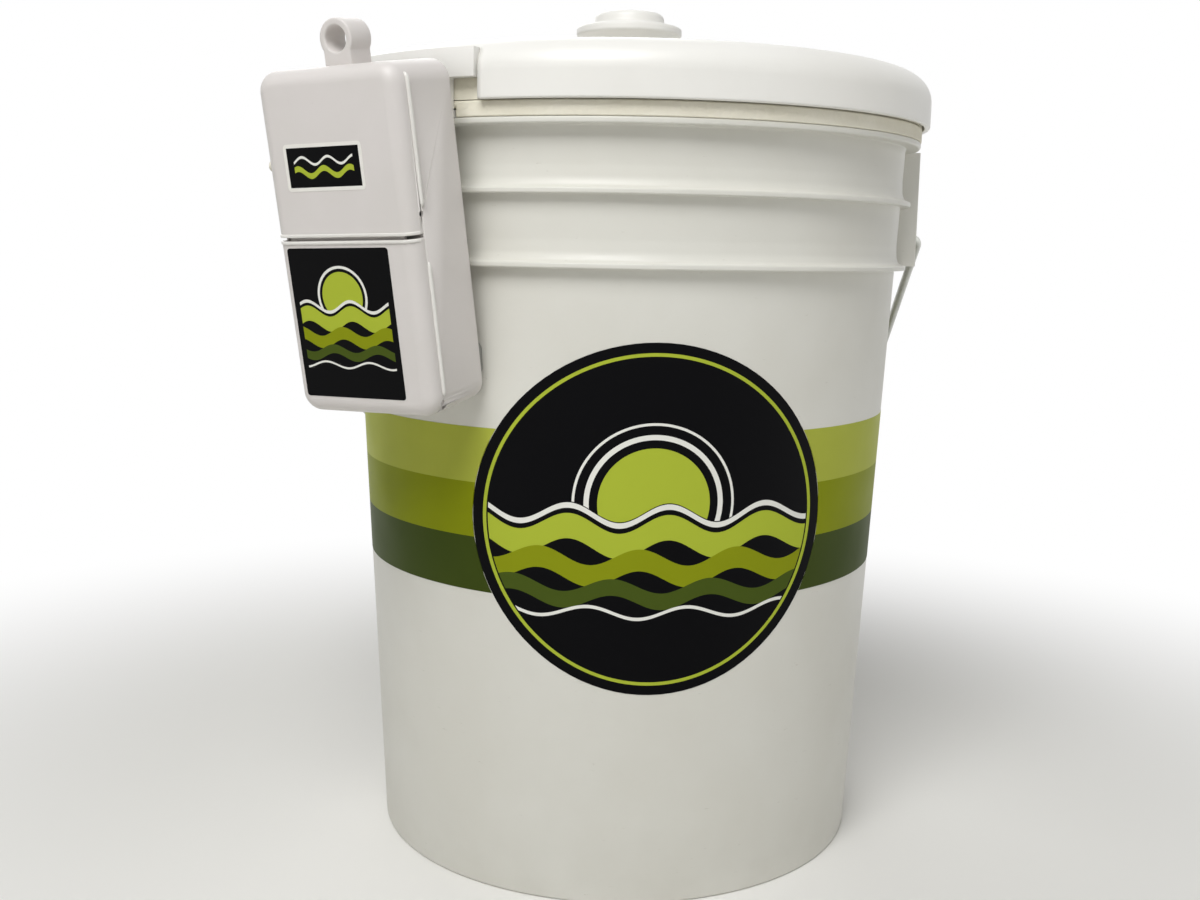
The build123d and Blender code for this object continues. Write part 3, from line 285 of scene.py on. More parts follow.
finishes = {
    # high-density polyethylene, injection moulded: waxy, faintly clouded, scuffed, darker in patches low down, with a
    # painted highlight along the edges of its rings
    "pail_white": finish("mouldedPolyethylene", "#dcdbd3", 0.42, "#d3d1c7", mottle=(60, 0.5), grain=(1.2, 0.02),
                         scuff=("#b5b1a4", 9, 0.66, 6.0), edge=("#f0eee6", 0.53, 0.35), lowDarkening=("#8f8a7c", 45, 0.2)),
    # the same plastic, brighter, with a finer skin
    "lid_white": finish("lidPolyethylene", "#edece7", 0.36, "#e5e3dd", mottle=(80, 0.5), grain=(1.0, 0.012),
                        scuff=("#cfcbc2", 7, 0.68, 0.6)),
    # expanded polystyrene: 3.5 mm beads pressed together, matt
    "foam": finish("expandedPolystyrene", "#eeeada", 0.86, "#e5e0cc", mottle=(18, 0.6), beads=(3.5, 0.25)),
    # screen-printing ink, thin and slightly duller than the plastic
    "print_light": finish("screenInkLight", "#b1b84b", 0.46, "#a6ae42", mottle=(50, 0.5), scuff=("#c9cba0", 6, 0.7, 4.0), Specular_IOR_Level=0.06),
    "print_middle": finish("screenInkMiddle", "#89920f", 0.46, "#7f880d", mottle=(50, 0.5), scuff=("#a8ad62", 6, 0.7, 4.0), Specular_IOR_Level=0.06),
    "print_dark": finish("screenInkDark", "#3d4a15", 0.46, "#354212", mottle=(50, 0.5), scuff=("#6d7750", 6, 0.7, 4.0), Specular_IOR_Level=0.06),
    # zinc-plated steel wire, drawn: metallic, dull grey, softly clouded
    "steel_wire": finish("platedWire", "#cfd0ca", 0.42, "#b9bab4", mottle=(6, 0.7), grain=(0.4, 0.01), Metallic=1.0),
    # low-density polyethylene tube of the grip
    "grip_plastic": finish("gripPolyethylene", "#e2e0d8", 0.48, "#d3cfc2", mottle=(14, 0.6), grain=(0.8, 0.03),
                           scuff=("#b7b2a4", 4, 0.62, 1.0)),
    # acrylonitrile butadiene styrene, with a fine spark-eroded grain from the mould
    "housing": finish("grainedStyrene", "#dbd6d3", 0.44, "#d3cfca", mottle=(45, 0.5), grain=(0.7, 0.03),
                      scuff=("#b9b6ae", 5, 0.7, 1.5)),
    # the same plastic, polished glossier along ridges where hands and pockets rub it, and painted lighter there as a
    # painted highlight
    "bead": finish("highlightPaintedStyrene", "#e6e4df", 0.36, "#dedbd5", mottle=(30, 0.5), grain=(0.7, 0.02)),
    # the housing's plastic painted lighter for the hanger: painted light, so that it looks as brightly lit as the block
    # beside the lid
    "hanger": finish("lightenedHangerStyrene", "#efeeea", 0.44, "#e6e4de", mottle=(30, 0.5), grain=(0.8, 0.02)),
    # zinc-plated screws
    "steel": finish("platedScrew", "#b9bbbb", 0.3, "#a2a4a5", mottle=(3, 0.6), grain=(0.3, 0.006), Metallic=1.0),
    "rubber_black": finish("nitrileRubber", "#1b1b1c", 0.72, "#252526", mottle=(9, 0.6), grain=(0.5, 0.03)),
    "rubber_grey": finish("siliconeRubber", "#8d8d88", 0.6, "#7f7f7b", mottle=(9, 0.6), grain=(0.5, 0.02)),
    # printed shrink sleeve round a cell
    "cell_sleeve": finish("shrinkSleeve", "#2d3a4a", 0.28, "#34435a", mottle=(12, 0.6), grain=(1.5, 0.02)),
    "spring_steel": finish("nickelStrip", "#c3c0b4", 0.24, "#aaa79b", mottle=(4, 0.6), grain=(0.3, 0.004), Metallic=1.0),
    "motor_can": finish("drawnMotorCan", "#b4b6b8", 0.3, "#a1a3a6", mottle=(5, 0.6), grain=(0.25, 0.006), Metallic=1.0),
    "crank_brass": finish("turnedBrass", "#c3a25a", 0.26, "#a98a49", mottle=(4, 0.6), grain=(0.25, 0.005), Metallic=1.0),
    "nylon": finish("naturalNylon", "#e8e4d6", 0.4, "#dcd7c6", mottle=(6, 0.6), grain=(0.5, 0.01)),
    "chassis_grey": finish("chassisStyrene", "#6f7276", 0.5, "#65686c", mottle=(12, 0.5), grain=(0.6, 0.02)),
    # sintered grit of the air stone, 0.8 mm grains
    "stone_grey": finish("bondedGrit", "#8a8d90", 0.9, "#5f6367", mottle=(1.6, 1.0), grain=(0.8, 0.35)),
    "switch_black": finish("switchNylon", "#17181a", 0.46, "#212225", mottle=(5, 0.5), grain=(0.4, 0.012)),
}


def printedLabel(name, ground, layers, centre, roughness=0.5):
    # a glossy label: flat inks over its ground; each layer is a hex and a test on (x, z) from the label's centre
    material = finish(name, ground, roughness, mottle=(30, 0.0), spread=0.06, grain=(2.5, 0.012), Specular_IOR_Level=0.05)
    tree = material.node_tree
    shader = tree.nodes["Principled BSDF"]
    place = next(n for n in tree.nodes if n.type == "TEX_COORD").outputs["Object"]
    local = addNode(tree, "ShaderNodeMapping", {0: place, 1: centre["at"], 2: centre["turn"]}, vector_type="POINT").outputs[0]
    split = addNode(tree, "ShaderNodeSeparateXYZ", {0: local})
    across, up = split.outputs[0], split.outputs[1]
    flat = addNode(tree, "ShaderNodeCombineXYZ", {0: across, 1: up}).outputs[0]
    colour = shader.inputs["Base Color"].links[0].from_socket
    for kind, hexCode, numbers in layers:
        if kind == "wave":  # height above a sine line lies within half the ribbon's width of its level
            level, half, swing, length, shift = numbers
            phase = addNode(tree, "ShaderNodeMath", {0: across, 1: 2 * math.pi / (length * mm), 2: shift},
                            operation="MULTIPLY_ADD").outputs[0]
            sine = addNode(tree, "ShaderNodeMath", {0: phase}, operation="SINE").outputs[0]
            above = addNode(tree, "ShaderNodeMath", {0: sine, 1: -swing * mm, 2: up}, operation="MULTIPLY_ADD").outputs[0]
            mask = addNode(tree, "ShaderNodeMath", {0: above, 1: level * mm, 2: half * mm}, operation="COMPARE").outputs[0]
        elif kind == "edge":  # everything beyond these half sizes
            side = addNode(tree, "ShaderNodeMath", {0: across}, operation="ABSOLUTE").outputs[0]
            end = addNode(tree, "ShaderNodeMath", {0: up}, operation="ABSOLUTE").outputs[0]
            side = addNode(tree, "ShaderNodeMath", {0: side, 1: numbers[0] * mm}, operation="GREATER_THAN").outputs[0]
            end = addNode(tree, "ShaderNodeMath", {0: end, 1: numbers[1] * mm}, operation="GREATER_THAN").outputs[0]
            mask = addNode(tree, "ShaderNodeMath", {0: side, 1: end}, operation="MAXIMUM").outputs[0]
        else:  # a ring, or a spot when its line is as wide as its radius
            x, y, radius, half = numbers
            away = addNode(tree, "ShaderNodeVectorMath", {0: flat, 1: (x * mm, y * mm, 0)}, operation="DISTANCE").outputs[1]
            mask = addNode(tree, "ShaderNodeMath", {0: away, 1: radius * mm, 2: half * mm}, operation="COMPARE").outputs[0]
        colour = addNode(tree, "ShaderNodeMix", {0: mask, 6: colour, 7: linearColour(hexCode)}, data_type="RGBA").outputs[2]
    tree.links.new(colour, shader.inputs["Base Color"])
    return material


# ---------- pail ----------
def ringCorners(radius, top):
    # square below, with a hollow that runs back to the wall above
    low, hollow = top - pail["ringThickness"], top + pail["ringFillet"]
    return [((wallRadius(low), low), 0.3), ((radius, low), 0.7), ((radius, top), 0.8),
            ((wallRadius(top) + 2.0, top + 0.9), 2.5), ((wallRadius(top) + 0.75, top + pail["ringSlope"]), 8.0),
            ((wallRadius(hollow), hollow), 20.0)]


def pailProfile():
    top, wall = pail["height"], pail["wall"]
    floorHigh = pail["floorLow"] + pail["floorThickness"]
    corners = [((pail["footRadius"] - pail["footRing"], 0), 0.5), ((pail["footRadius"], 0), 0.9)]
    for ring in pail["rings"]:
        corners += ringCorners(*ring)
    corners += [
        ((wallRadius(top - pail["rimThickness"]), top - pail["rimThickness"]), 0.8),
        ((pail["rimRadius"], top - pail["rimThickness"]), 0.9), ((pail["rimRadius"], top), 0.9),
        ((wallRadius(top) - wall, top), 0.4), ((wallRadius(floorHigh) - wall, floorHigh), 3.0), ((0.5, floorHigh), 0),
        ((0.5, pail["floorLow"]), 0), ((pail["footRadius"] - pail["footRing"], pail["floorLow"]), 0.8),
    ]
    return roundedPath([c[0] for c in corners], [c[1] for c in corners], steps=5)


turned("pailShell", pailProfile(), finishes["pail_white"], "bucket", ("pail",), segments=288)
ears = {"hole": 2.55, "root": 142.0, "webSpread": 13.0, "webThickness": 2.4, "webReach": 157.5, "webSunk": 1.2,
        "webLow": 307.0, "webHigh": 367.5}
for side, hand in (("Right", 1), ("Left", -1)):
    def alongX(points, hand=hand):
        # the ear's own axis runs out along x at the pivot's height
        return np.stack([hand * points[..., 2], hand * points[..., 1], pail["earHeight"] + points[..., 0]], -1)

    boss = roundedPath([(ears["hole"], ears["root"]), (pail["earRadius"] + 0.5, ears["root"]),
                        (pail["earRadius"], pail["earReach"]), (ears["hole"], pail["earReach"])], (0, 0, 1.4, 0.5))
    turned("ear" + side, boss, finishes["pail_white"], "bucket", segments=72, place=alongX)
    for label, y in (("Front", -ears["webSpread"]), ("Middle", 0.0), ("Back", ears["webSpread"])):
        levels = np.linspace(ears["webLow"], ears["webHigh"], 25)
        root = wallRadius(levels) - ears["webSunk"]
        across = np.array([(0, -1), (0.94, -1), (1, -0.6), (1, 0.6), (0.94, 1), (0, 1)])
        x = root[:, None] + across[None, :, 0] * (ears["webReach"] - root)[:, None]
        y = y + across[None, :, 1] * ears["webThickness"] / 2 + 0 * x
        drawn = np.stack([hand * x, y, np.broadcast_to(levels[:, None], x.shape)], -1)
        loft("web" + side + label, drawn, finishes["pail_white"], "bucket")
print("pail made")

# ---------- bail and grip ----------
bail = {"leg": 163.5, "length": 217.0, "corner": 105.0, "bend": 6.0, "wire": 2.25, "pinEnd": 148.0, "angle": 44.48}
grip = {"length": 108.0, "radius": 13.0, "waist": 10.6, "collar": 5.0, "fingers": 4, "bore": 2.55}
lean = math.radians(bail["angle"])
hangs = np.array([0, math.sin(lean), -math.cos(lean)])  # from the pivot down to the grip


def onBail(flat):
    return np.stack([flat[:, 0], hangs[1] * flat[:, 1], pail["earHeight"] + hangs[2] * flat[:, 1]], -1)


route = roundedPath([(bail["pinEnd"], 0), (bail["leg"], 0), (bail["leg"], bail["length"]), (-bail["leg"], bail["length"]),
                     (-bail["leg"], 0), (-bail["pinEnd"], 0)],
                    (0, bail["bend"], bail["corner"], bail["corner"], bail["bend"], 0), steps=28, closed=False)
tube("bailWire", onBail(route), bail["wire"], np.cross((1, 0, 0), hangs), finishes["steel_wire"], "bail",
     ("bail_wire",))


def gripProfile():
    # finger hollows between two collars: the radius swells and narrows as a cosine along the grip
    half, collar = grip["length"] / 2, grip["collar"]
    along = np.linspace(-half + collar, half - collar, 97)
    swing = (1 - np.cos(2 * math.pi * grip["fingers"] * (along + half - collar) / (grip["length"] - 2 * collar))) / 2
    body = np.stack([grip["waist"] + swing * (grip["radius"] - grip["waist"]) / 2, along], -1)
    ends = roundedPath([(grip["waist"], half - collar), (grip["radius"], half - collar), (grip["radius"], half),
                        (grip["bore"], half)], (0, 0.8, 1.4, 0.6), closed=False)
    return np.vstack([body, ends[1:], (ends * (1, -1))[::-1][:-1]])


def alongGrip(points):
    centre = np.array([0, hangs[1] * bail["length"], pail["earHeight"] + hangs[2] * bail["length"]])
    return centre + np.stack([points[..., 2], points[..., 0], points[..., 1]], -1)


turned("bailGrip", gripProfile(), finishes["grip_plastic"], "grip", ("bail_grip",), segments=72, place=alongGrip)
print("bail made")

# ---------- foam liner and lid ----------
liner = {"gap": 0.4, "wall": 12.0, "floorTop": 23.0, "corner": 14.0, "flange": 154.8, "top": 377.0}
lid = {"radius": 158.8, "top": 403.5, "skin": 2.5, "skirt": 3.0, "corner": 14.0, "innerCorner": 16.0, "hole": 2.2}
hanger = {"arc": 20.0, "wingArc": 30.0, "top": 399.0, "gap": 0.8, "lipInner": 140.34, "lipLow": 352.0, "bridge": 373.2}


def sector(name, inner, outer, low, high, arc):
    # an arc-shaped block round the z axis, centred on the pump; only used to cut with
    turn = np.radians(np.linspace(-90 - pump["azimuth"] - arc / 2, -90 - pump["azimuth"] + arc / 2, 40))
    corners = np.array([(inner, low), (outer, low), (outer, high), (inner, high)])
    rows = np.stack([corners[None, :, 0] * np.cos(turn)[:, None], corners[None, :, 0] * np.sin(turn)[:, None],
                     corners[None, :, 1] + 0 * turn[:, None]], -1)
    return loft(name, rows, finishes["foam"], "bucket")


def cut(piece, *cutters):
    for cutter in cutters:
        modifier(piece, "BOOLEAN", object=cutter, operation="DIFFERENCE", solver="EXACT")


floorHigh = pail["floorLow"] + pail["floorThickness"]
bore = pail["wall"] + liner["gap"]
linerPath = roundedPath(
    [(0.5, floorHigh + 0.05), (wallRadius(floorHigh) - bore, floorHigh + 0.05), (wallRadius(370) - bore, 370.02),
     (liner["flange"], 370.02), (liner["flange"], liner["top"]), (wallRadius(370) - bore - liner["wall"], liner["top"]),
     (wallRadius(liner["floorTop"]) - bore - liner["wall"], liner["floorTop"]), (0.5, liner["floorTop"])],
    (0, 1.5, 0, 0.6, 0.9, 1.6, liner["corner"], 0), steps=8)
linerPiece = turned("foamLiner", linerPath, finishes["foam"], "bucket", ("foam_liner",), segments=224)
pocket = sector("pocketCutter", hanger["lipInner"] - hanger["gap"], liner["flange"] + 3, hanger["lipLow"] - hanger["gap"],
                hanger["bridge"] + hanger["gap"], hanger["arc"] + 2 * math.degrees(hanger["gap"] / hanger["lipInner"]))
cut(linerPiece, pocket)

lidPath = roundedPath(
    [(lid["hole"], lid["top"] - lid["skin"]), (lid["hole"], lid["top"]), (lid["radius"], lid["top"]),
     (lid["radius"], liner["top"]), (lid["radius"] - lid["skirt"], liner["top"]),
     (lid["radius"] - lid["skirt"], lid["top"] - lid["skin"])],
    (0, 0, lid["corner"], 1.0, 0.6, lid["innerCorner"]), steps=12)
lidPiece = turned("lidCover", lidPath, finishes["lid_white"], "lid", ("lid_cover",), segments=256)
notch = sector("notchCutter", liner["flange"] + 0.1, lid["radius"] + 3, liner["top"] - 3, hanger["top"] + hanger["gap"],
               hanger["wingArc"] + 2 * math.degrees(hanger["gap"] / lid["radius"]))
cut(lidPiece, notch)
for cutter in (pocket, notch):
    bpy.data.objects.remove(cutter)

knob = {"foot": 18.0, "footHeight": 2.5, "neck": 12.0, "neckLow": 8.0, "neckHigh": 17.0, "brim": 28.0, "brimTop": 26.0,
        "brimThick": 4.0, "crown": 19.0, "height": 33.5}
knobPath = roundedPath(
    [(0.4, lid["top"]), (knob["foot"], lid["top"]), (knob["foot"], lid["top"] + knob["footHeight"]),
     (knob["neck"], lid["top"] + knob["neckLow"]), (knob["neck"], lid["top"] + knob["neckHigh"]),
     (knob["brim"], lid["top"] + knob["brimTop"] - knob["brimThick"]), (knob["brim"], lid["top"] + knob["brimTop"]),
     (knob["crown"], lid["top"] + knob["brimTop"] + 1.5), (knob["crown"] - 1, lid["top"] + knob["height"]),
     (0.4, lid["top"] + knob["height"])],
    (0, 0.8, 1.2, 3, 4, 1.5, 1.5, 2, 3, 0), steps=8)
turned("lidKnob", knobPath, finishes["lid_white"], "lid", ("lid_knob",), segments=96)
print("liner, lid and knob made")

# ---------- prints ----------
prints = {"bottom": 151.8, "width": 26.4, "disc": 83.0, "discAcross": 4.0, "discHeight": 190.0, "gap": 0.2, "lift": 0.14, "depth": -0.15}


def onWall(angle, height, lift):
    # angle runs from the front, anticlockwise from above; the point sits on the cone, lifted off it
    radius = wallRadius(height) + lift
    return np.stack([radius * np.sin(angle), -radius * np.cos(angle), height + 0 * angle], -1)


def band(name, low, high, slot, replaced):
    # a sleeve cut away by the disc: at each height it runs from one edge of the disc round to the other
    heights = np.linspace(low, high, 30)
    away = np.sqrt((prints["disc"] + prints["gap"]) ** 2 - (heights - prints["discHeight"]) ** 2)
    start = np.arcsin((prints["discAcross"] + away) / wallRadius(heights))
    end = 2 * math.pi - np.arcsin((away - prints["discAcross"]) / wallRadius(heights))
    share = np.linspace(0, 1, 260)[:, None]
    angle = start[None] + share * (end - start)[None]
    outer = onWall(angle, heights[None], prints["lift"])
    inner = onWall(angle, heights[None], prints["depth"])[:, ::-1]
    loft(name, np.concatenate([outer, inner], 1), finishes[slot], "bucket", (replaced,))


for number, shade in enumerate(("Dark", "Middle", "Light")):
    low = prints["bottom"] + number * prints["width"]
    band("band" + shade, low, low + prints["width"], "print_" + shade.lower(), "stripe_" + shade.lower())


def patch(name, halfWidth, halfHeight, corner, rings, wrap, material, body, replaced):
    # rounded label: outlines that shrink towards its middle, first over its face and then under its back
    path = roundedPath([(halfWidth, -halfHeight), (halfWidth, halfHeight), (-halfWidth, halfHeight), (-halfWidth, -halfHeight)],
                       (corner,) * 4, steps=24 if corner > 20 else 6, guard=1e9)
    shares = np.linspace(0.02, 1, rings)
    face = wrap(shares[:, None, None] * path[None], prints["lift"])
    back = wrap(shares[::-1][:, None, None] * path[None], prints["depth"])
    loft(name, np.concatenate([face, back]), material, body, (replaced,))


def wrapDisc(points, lift):
    # (across, up) from the disc's centre, wrapped on the front of the cone
    height, across = points[..., 1] + prints["discHeight"], points[..., 0] + prints["discAcross"]
    radius = wallRadius(height) + lift
    return np.stack([across, -np.sqrt(radius ** 2 - across ** 2), height], -1)


def labelFrame(origin, across, up, out):
    # the Mapping values that take a point to (across, up, out) from the label's centre
    turn = Matrix((across, up, out))
    return {"at": tuple(-(turn @ Vector(origin))), "turn": tuple(turn.to_euler("XYZ"))}


discFrame = labelFrame((prints["discAcross"] * mm, 0, prints["discHeight"] * mm), (1, 0, 0), (0, 0, 1), (0, -1, 0))
# pressure-sensitive vinyl: black and glossy, with flat inks; a plain sun over water inside a ring
discInk = printedLabel("vinylDisc", "#08080a", (
    ("ring", "#adbb3c", (0, 0, 77.5, 0.8)),
    ("ring", "#adbb3c", (0, 9, 13, 13)), ("ring", "#e9e9e2", (0, 9, 31, 1.2)), ("ring", "#e9e9e2", (0, 9, 37, 0.6)),
    ("wave", "#08080a", (-28, 33, 4.5, 46, 0.6)),
    ("wave", "#e9e9e2", (3.2, 1.3, 4.5, 46, 0.6)), ("wave", "#adbb3c", (-6.5, 6.0, 4.5, 46, 0.6)),
    ("wave", "#8a9316", (-21.5, 5.2, 4.0, 46, 2.4)), ("wave", "#47561c", (-34.0, 4.0, 3.4, 46, 4.1)),
    ("wave", "#e9e9e2", (-43.0, 0.8, 2.8, 46, 5.6)),
    ("ring", "#08080a", (0, 0, 94, 18)), ("ring", "#adbb3c", (0, 0, 77.5, 0.8)),
), discFrame)
patch("discLabel", prints["disc"], prints["disc"], prints["disc"] - 0.01, 40, wrapDisc, discInk, "bucket", "disc_label")
print("prints made")

# ---------- pump housing ----------
half = {"width": pump["width"] / 2, "height": pump["height"] / 2}
tubDepth = pump["depth"] - pump["shell"]
doorTop, coverBottom = pump["seam"] - pump["seamGap"] / 2, pump["seam"] + pump["seamGap"] / 2


def housingRows(profile, low, high, roundLow, roundHigh, steps=9):
    # the housing's outline at each profile point (side inset, depth, end inset): straight sides and quarter-circle
    # corners whose radius shrinks with the inset, and a square end where the shell stops at the seam
    rows = []
    for inset, depth, endInset in profile:
        corners = []
        radius = max(pump["corner"] - inset, 0.4)
        for sx, end, isRound, start in ((1, low, roundLow, -90), (1, high, roundHigh, 0), (-1, high, roundHigh, 90), (-1, low, roundLow, 180)):
            r = radius if isRound else 0.4
            drop = inset if isRound else endInset
            sy = 1 if end == high else -1
            centre = np.array([sx * (half["width"] - inset - r), end - sy * (drop + r)])
            turn = np.radians(np.linspace(start, start + 90, steps))
            arc = centre + r * np.stack([np.cos(turn), np.sin(turn)], -1)
            before = arc[0] + 0.5 * np.array([math.sin(turn[0]), -math.cos(turn[0])])
            after = arc[-1] + 0.5 * np.array([-math.sin(turn[-1]), math.cos(turn[-1])])
            corners.append(np.vstack([before, arc, after]))
        flat = np.vstack(corners)
        rows.append(np.column_stack([flat, np.full(len(flat), depth)]))
    return np.array(rows)


def housingShell(name, profile, radii, low, high, roundLow, roundHigh, body, replaced, cutters=()):
    path = roundedPath(profile, radii, steps=8, closed=False)
    rows = housingRows(path, low, high, roundLow, roundHigh)
    piece = loft(name, onPump(rows), finishes["housing"], body, replaced)
    cut(piece, *cutters)
    return softened(piece, 0.3)


def rod(name, start, end, radius):
    # a short round bar between two points in the pump's frame; only used to cut with
    path = np.array([start, end], float)
    direction = (path[1] - path[0]) / np.linalg.norm(path[1] - path[0])
    normal = np.cross(direction, (0, 0, 1) if abs(direction[2]) < 0.9 else (1, 0, 0))
    return tube(name, path, radius, normal, finishes["housing"], "bucket", place=onPump, sides=28)


def bar(name, section, low, high):
    # a straight bar with a section in (across, depth), running up the pump; only used to cut with
    rows = [np.column_stack([section[:, 0], np.full(len(section), y), section[:, 1]]) for y in (low, high)]
    return loft(name, onPump(np.array(rows)), finishes["housing"], "bucket")


wall, depthAll = pump["wall"], pump["depth"]
works = {"rodMiddle": 22.8, "height": 34.4, "outletHole": 3.4, "switchHeight": 58.4, "switchDepth": 20.0, "switchTravel": 4.0,
         "knob": 5.0, "fit": 0.3}
cutters = [rod("outletCutter", (-half["width"] - 3, works["height"], works["rodMiddle"]), (-half["width"] + 3.5, works["height"], works["rodMiddle"]), works["outletHole"])]
reach = works["knob"] / 2 + works["fit"]
opening = roundedPath([(works["switchHeight"] - reach, works["switchDepth"] - reach), (works["switchHeight"] + reach + works["switchTravel"], works["switchDepth"] - reach),
                       (works["switchHeight"] + reach + works["switchTravel"], works["switchDepth"] + reach), (works["switchHeight"] - reach, works["switchDepth"] + reach)],
                      (0.4,) * 4, steps=3, guard=1e9)
cutters.append(loft("switchCutter", onPump(np.array([np.column_stack([np.full(len(opening), x), opening]) for x in (-half["width"] - 3, -half["width"] + 3.5)])),
                    finishes["housing"], "bucket"))
beads = {"width": 1.8, "height": 1.1, "runs": ((15.5, 70.1), (-66.1, -7.6)), "slot": 1.4, "slotDepth": 1.4}
slotCutters = []
for hand in (-1, 1):
    for low, high in beads["runs"]:
        y = low - 2 * beads["slot"]
        slotCutters.append(rod("slotCutter", (hand * (half["width"] + 2), y, tubDepth + 0.1), (hand * (half["width"] - beads["slotDepth"]), y, tubDepth + 0.1), beads["slot"]))

# grooves for the door's rails, and the gates in the bottom wall through which they leave
groove = {"inner": 35.0, "outer": 36.0, "back": 29.0, "front": 30.8, "gateInner": 33.2, "gateTop": -56.4}
railCutters = []
for hand in (-1, 1):
    channel = np.array([(hand * groove["inner"], groove["back"]), (hand * groove["outer"], groove["back"]),
                        (hand * groove["outer"], groove["front"]), (hand * groove["inner"], groove["front"])])
    gate = np.array([(hand * groove["gateInner"], groove["back"]), (hand * groove["outer"], groove["back"]),
                     (hand * groove["outer"], tubDepth + 1), (hand * groove["gateInner"], tubDepth + 1)])
    railCutters.append(bar("channelCutter", channel, -half["height"] - 2, 2.2))
    railCutters.append(bar("gateCutter", gate, -half["height"] - 2.5, groove["gateTop"]))
# the door is open at its top, where it slides down past the cells
mouth = roundedPath([(wall - half["width"] + 0.02, tubDepth - 1), (half["width"] - wall - 0.02, tubDepth - 1),
                     (half["width"] - wall - 0.02, depthAll - wall - 0.02), (wall - half["width"] + 0.02, depthAll - wall - 0.02)],
                    (0, 0, pump["edge"] - wall, pump["edge"] - wall), steps=8, guard=1e9)
mouthCutter = bar("mouthCutter", mouth, doorTop - wall - 2, doorTop + 1)

deep = 16.0
housingShell("pumpCase",
             [(deep, 0, 0), (0, 0, 0), (0, tubDepth, 0), (wall, tubDepth, 0), (wall, wall, 0), (deep, wall, 0)],
             (0, pump["backEdge"], 0, 0, 1.0, 0), -half["height"], half["height"], True, True, "bucket", ("pump_case",),
             cutters + slotCutters + railCutters)
shellProfile = [(deep, depthAll, 0), (0, depthAll, 0), (0, tubDepth, 0), (wall, tubDepth, wall), (wall, depthAll - wall, wall),
                (deep, depthAll - wall, wall)]
edges = (0, pump["edge"], 0, 0, pump["edge"] - wall, 0)
housingShell("pumpCover", shellProfile, edges, coverBottom, half["height"], False, True, "bucket",
             ("pump_cover",), slotCutters)
doorProfile = [(i, max(d, tubDepth + 0.2), e) for i, d, e in shellProfile]
housingShell("batteryDoor", doorProfile, edges, -half["height"], doorTop, True, False, "battery_door",
             ("battery_door",), slotCutters + [mouthCutter])
for cutter in cutters + slotCutters + railCutters + [mouthCutter]:
    bpy.data.objects.remove(cutter)

partition = {"low": 2.2, "high": 6.7, "edge": 36.4}
slab = np.array([(-partition["edge"], partition["low"]), (partition["edge"], partition["low"]),
                 (partition["edge"], partition["high"]), (-partition["edge"], partition["high"])])
loft("casePartition", onPump(np.array([np.column_stack([slab, np.full(4, depth)]) for depth in np.linspace(wall, tubDepth - 0.1, 6)])),
     finishes["housing"], "bucket")

rail = {"low": -56.1, "length": 58.0}
hook = np.array([(33.5, 29.3), (35.7, 29.3), (35.7, 30.5), (35.0, 30.5), (35.0, 33.5), (35.8, 33.5), (35.8, 36.0), (33.5, 36.0)])
for side, hand in (("Right", 1), ("Left", -1)):
    rows = [np.column_stack([hand * hook[:, 0], np.full(len(hook), y), hook[:, 1]]) for y in rail["low"] + np.linspace(0, rail["length"], 8)]
    softened(loft("doorRail" + side, onPump(np.array(rows)), finishes["housing"], "battery_door"), 0.15)

# the carrying eye on top: a ring that widens into a foot, seen from the front as a distance from its centre at each angle
lug = {"across": 2.8, "up": 85.5, "radius": 8.4, "hole": 5.4, "back": 17.7, "front": 31.7, "foot": 7.0, "footDrop": 12.0, "edge": 0.8}


def lugRows():
    turn = np.linspace(0, 2 * math.pi, 144, endpoint=False)
    downward = np.maximum(-np.sin(turn), 1e-6)
    foot = np.where(np.sin(turn) < 0, np.minimum(lug["footDrop"] / downward, lug["foot"] / np.maximum(abs(np.cos(turn)), 1e-6)), 0)
    outer = np.maximum(lug["radius"], foot)
    quarter = np.linspace(0, math.pi / 2, 6)
    inwards, along = lug["edge"] * (1 - np.sin(quarter)), lug["edge"] * (1 - np.cos(quarter))
    outerEdge = np.concatenate([inwards, inwards[::-1]])
    depths = np.concatenate([lug["back"] + along[::-1][::-1], lug["front"] - along[::-1]])
    radii = np.concatenate([outer[:, None] - outerEdge[None], np.broadcast_to(lug["hole"] + outerEdge[::-1][None], (144, 12))], 1)
    depth = np.concatenate([depths, depths[::-1]])
    x = lug["across"] + radii * np.cos(turn)[:, None]
    y = lug["up"] + radii * np.sin(turn)[:, None]
    return np.stack([x, y, np.broadcast_to(depth[None], x.shape)], -1)


eye = lugRows()
makePiece("carryEye", onPump(eye), gridFaces(*eye.shape[:2], True, True), finishes["housing"], "bucket")

# the beads along both sides: round bars half sunk in the walls, tapering at their ends
for side, hand in (("Right", 1), ("Left", -1)):
    for label, (low, high) in zip(("Upper", "Lower"), beads["runs"]):
        y = low + (high - low) * (1 - np.cos(np.linspace(0, math.pi, 60))) / 2
        past = np.maximum(abs(y) - (half["height"] - pump["corner"]), 0)
        inset = pump["corner"] - np.sqrt(pump["corner"] ** 2 - past ** 2)  # how far the rounded corner falls back
        path = np.stack([hand * (half["width"] - 0.05 - inset), y, np.full(60, tubDepth - beads["width"] / 2)], -1)
        nearEnd = np.clip(np.minimum(y - low, high - y) / 2.5, 0.01, 1)
        # the beads take the lighter bead finish, a painted highlight along the ridge
        tube("bead" + side + label, path, 0, (0, 0, 1), finishes["bead"], "bucket",
             bulge=beads["height"] * np.sqrt(1 - (1 - nearEnd) ** 2), place=onPump)

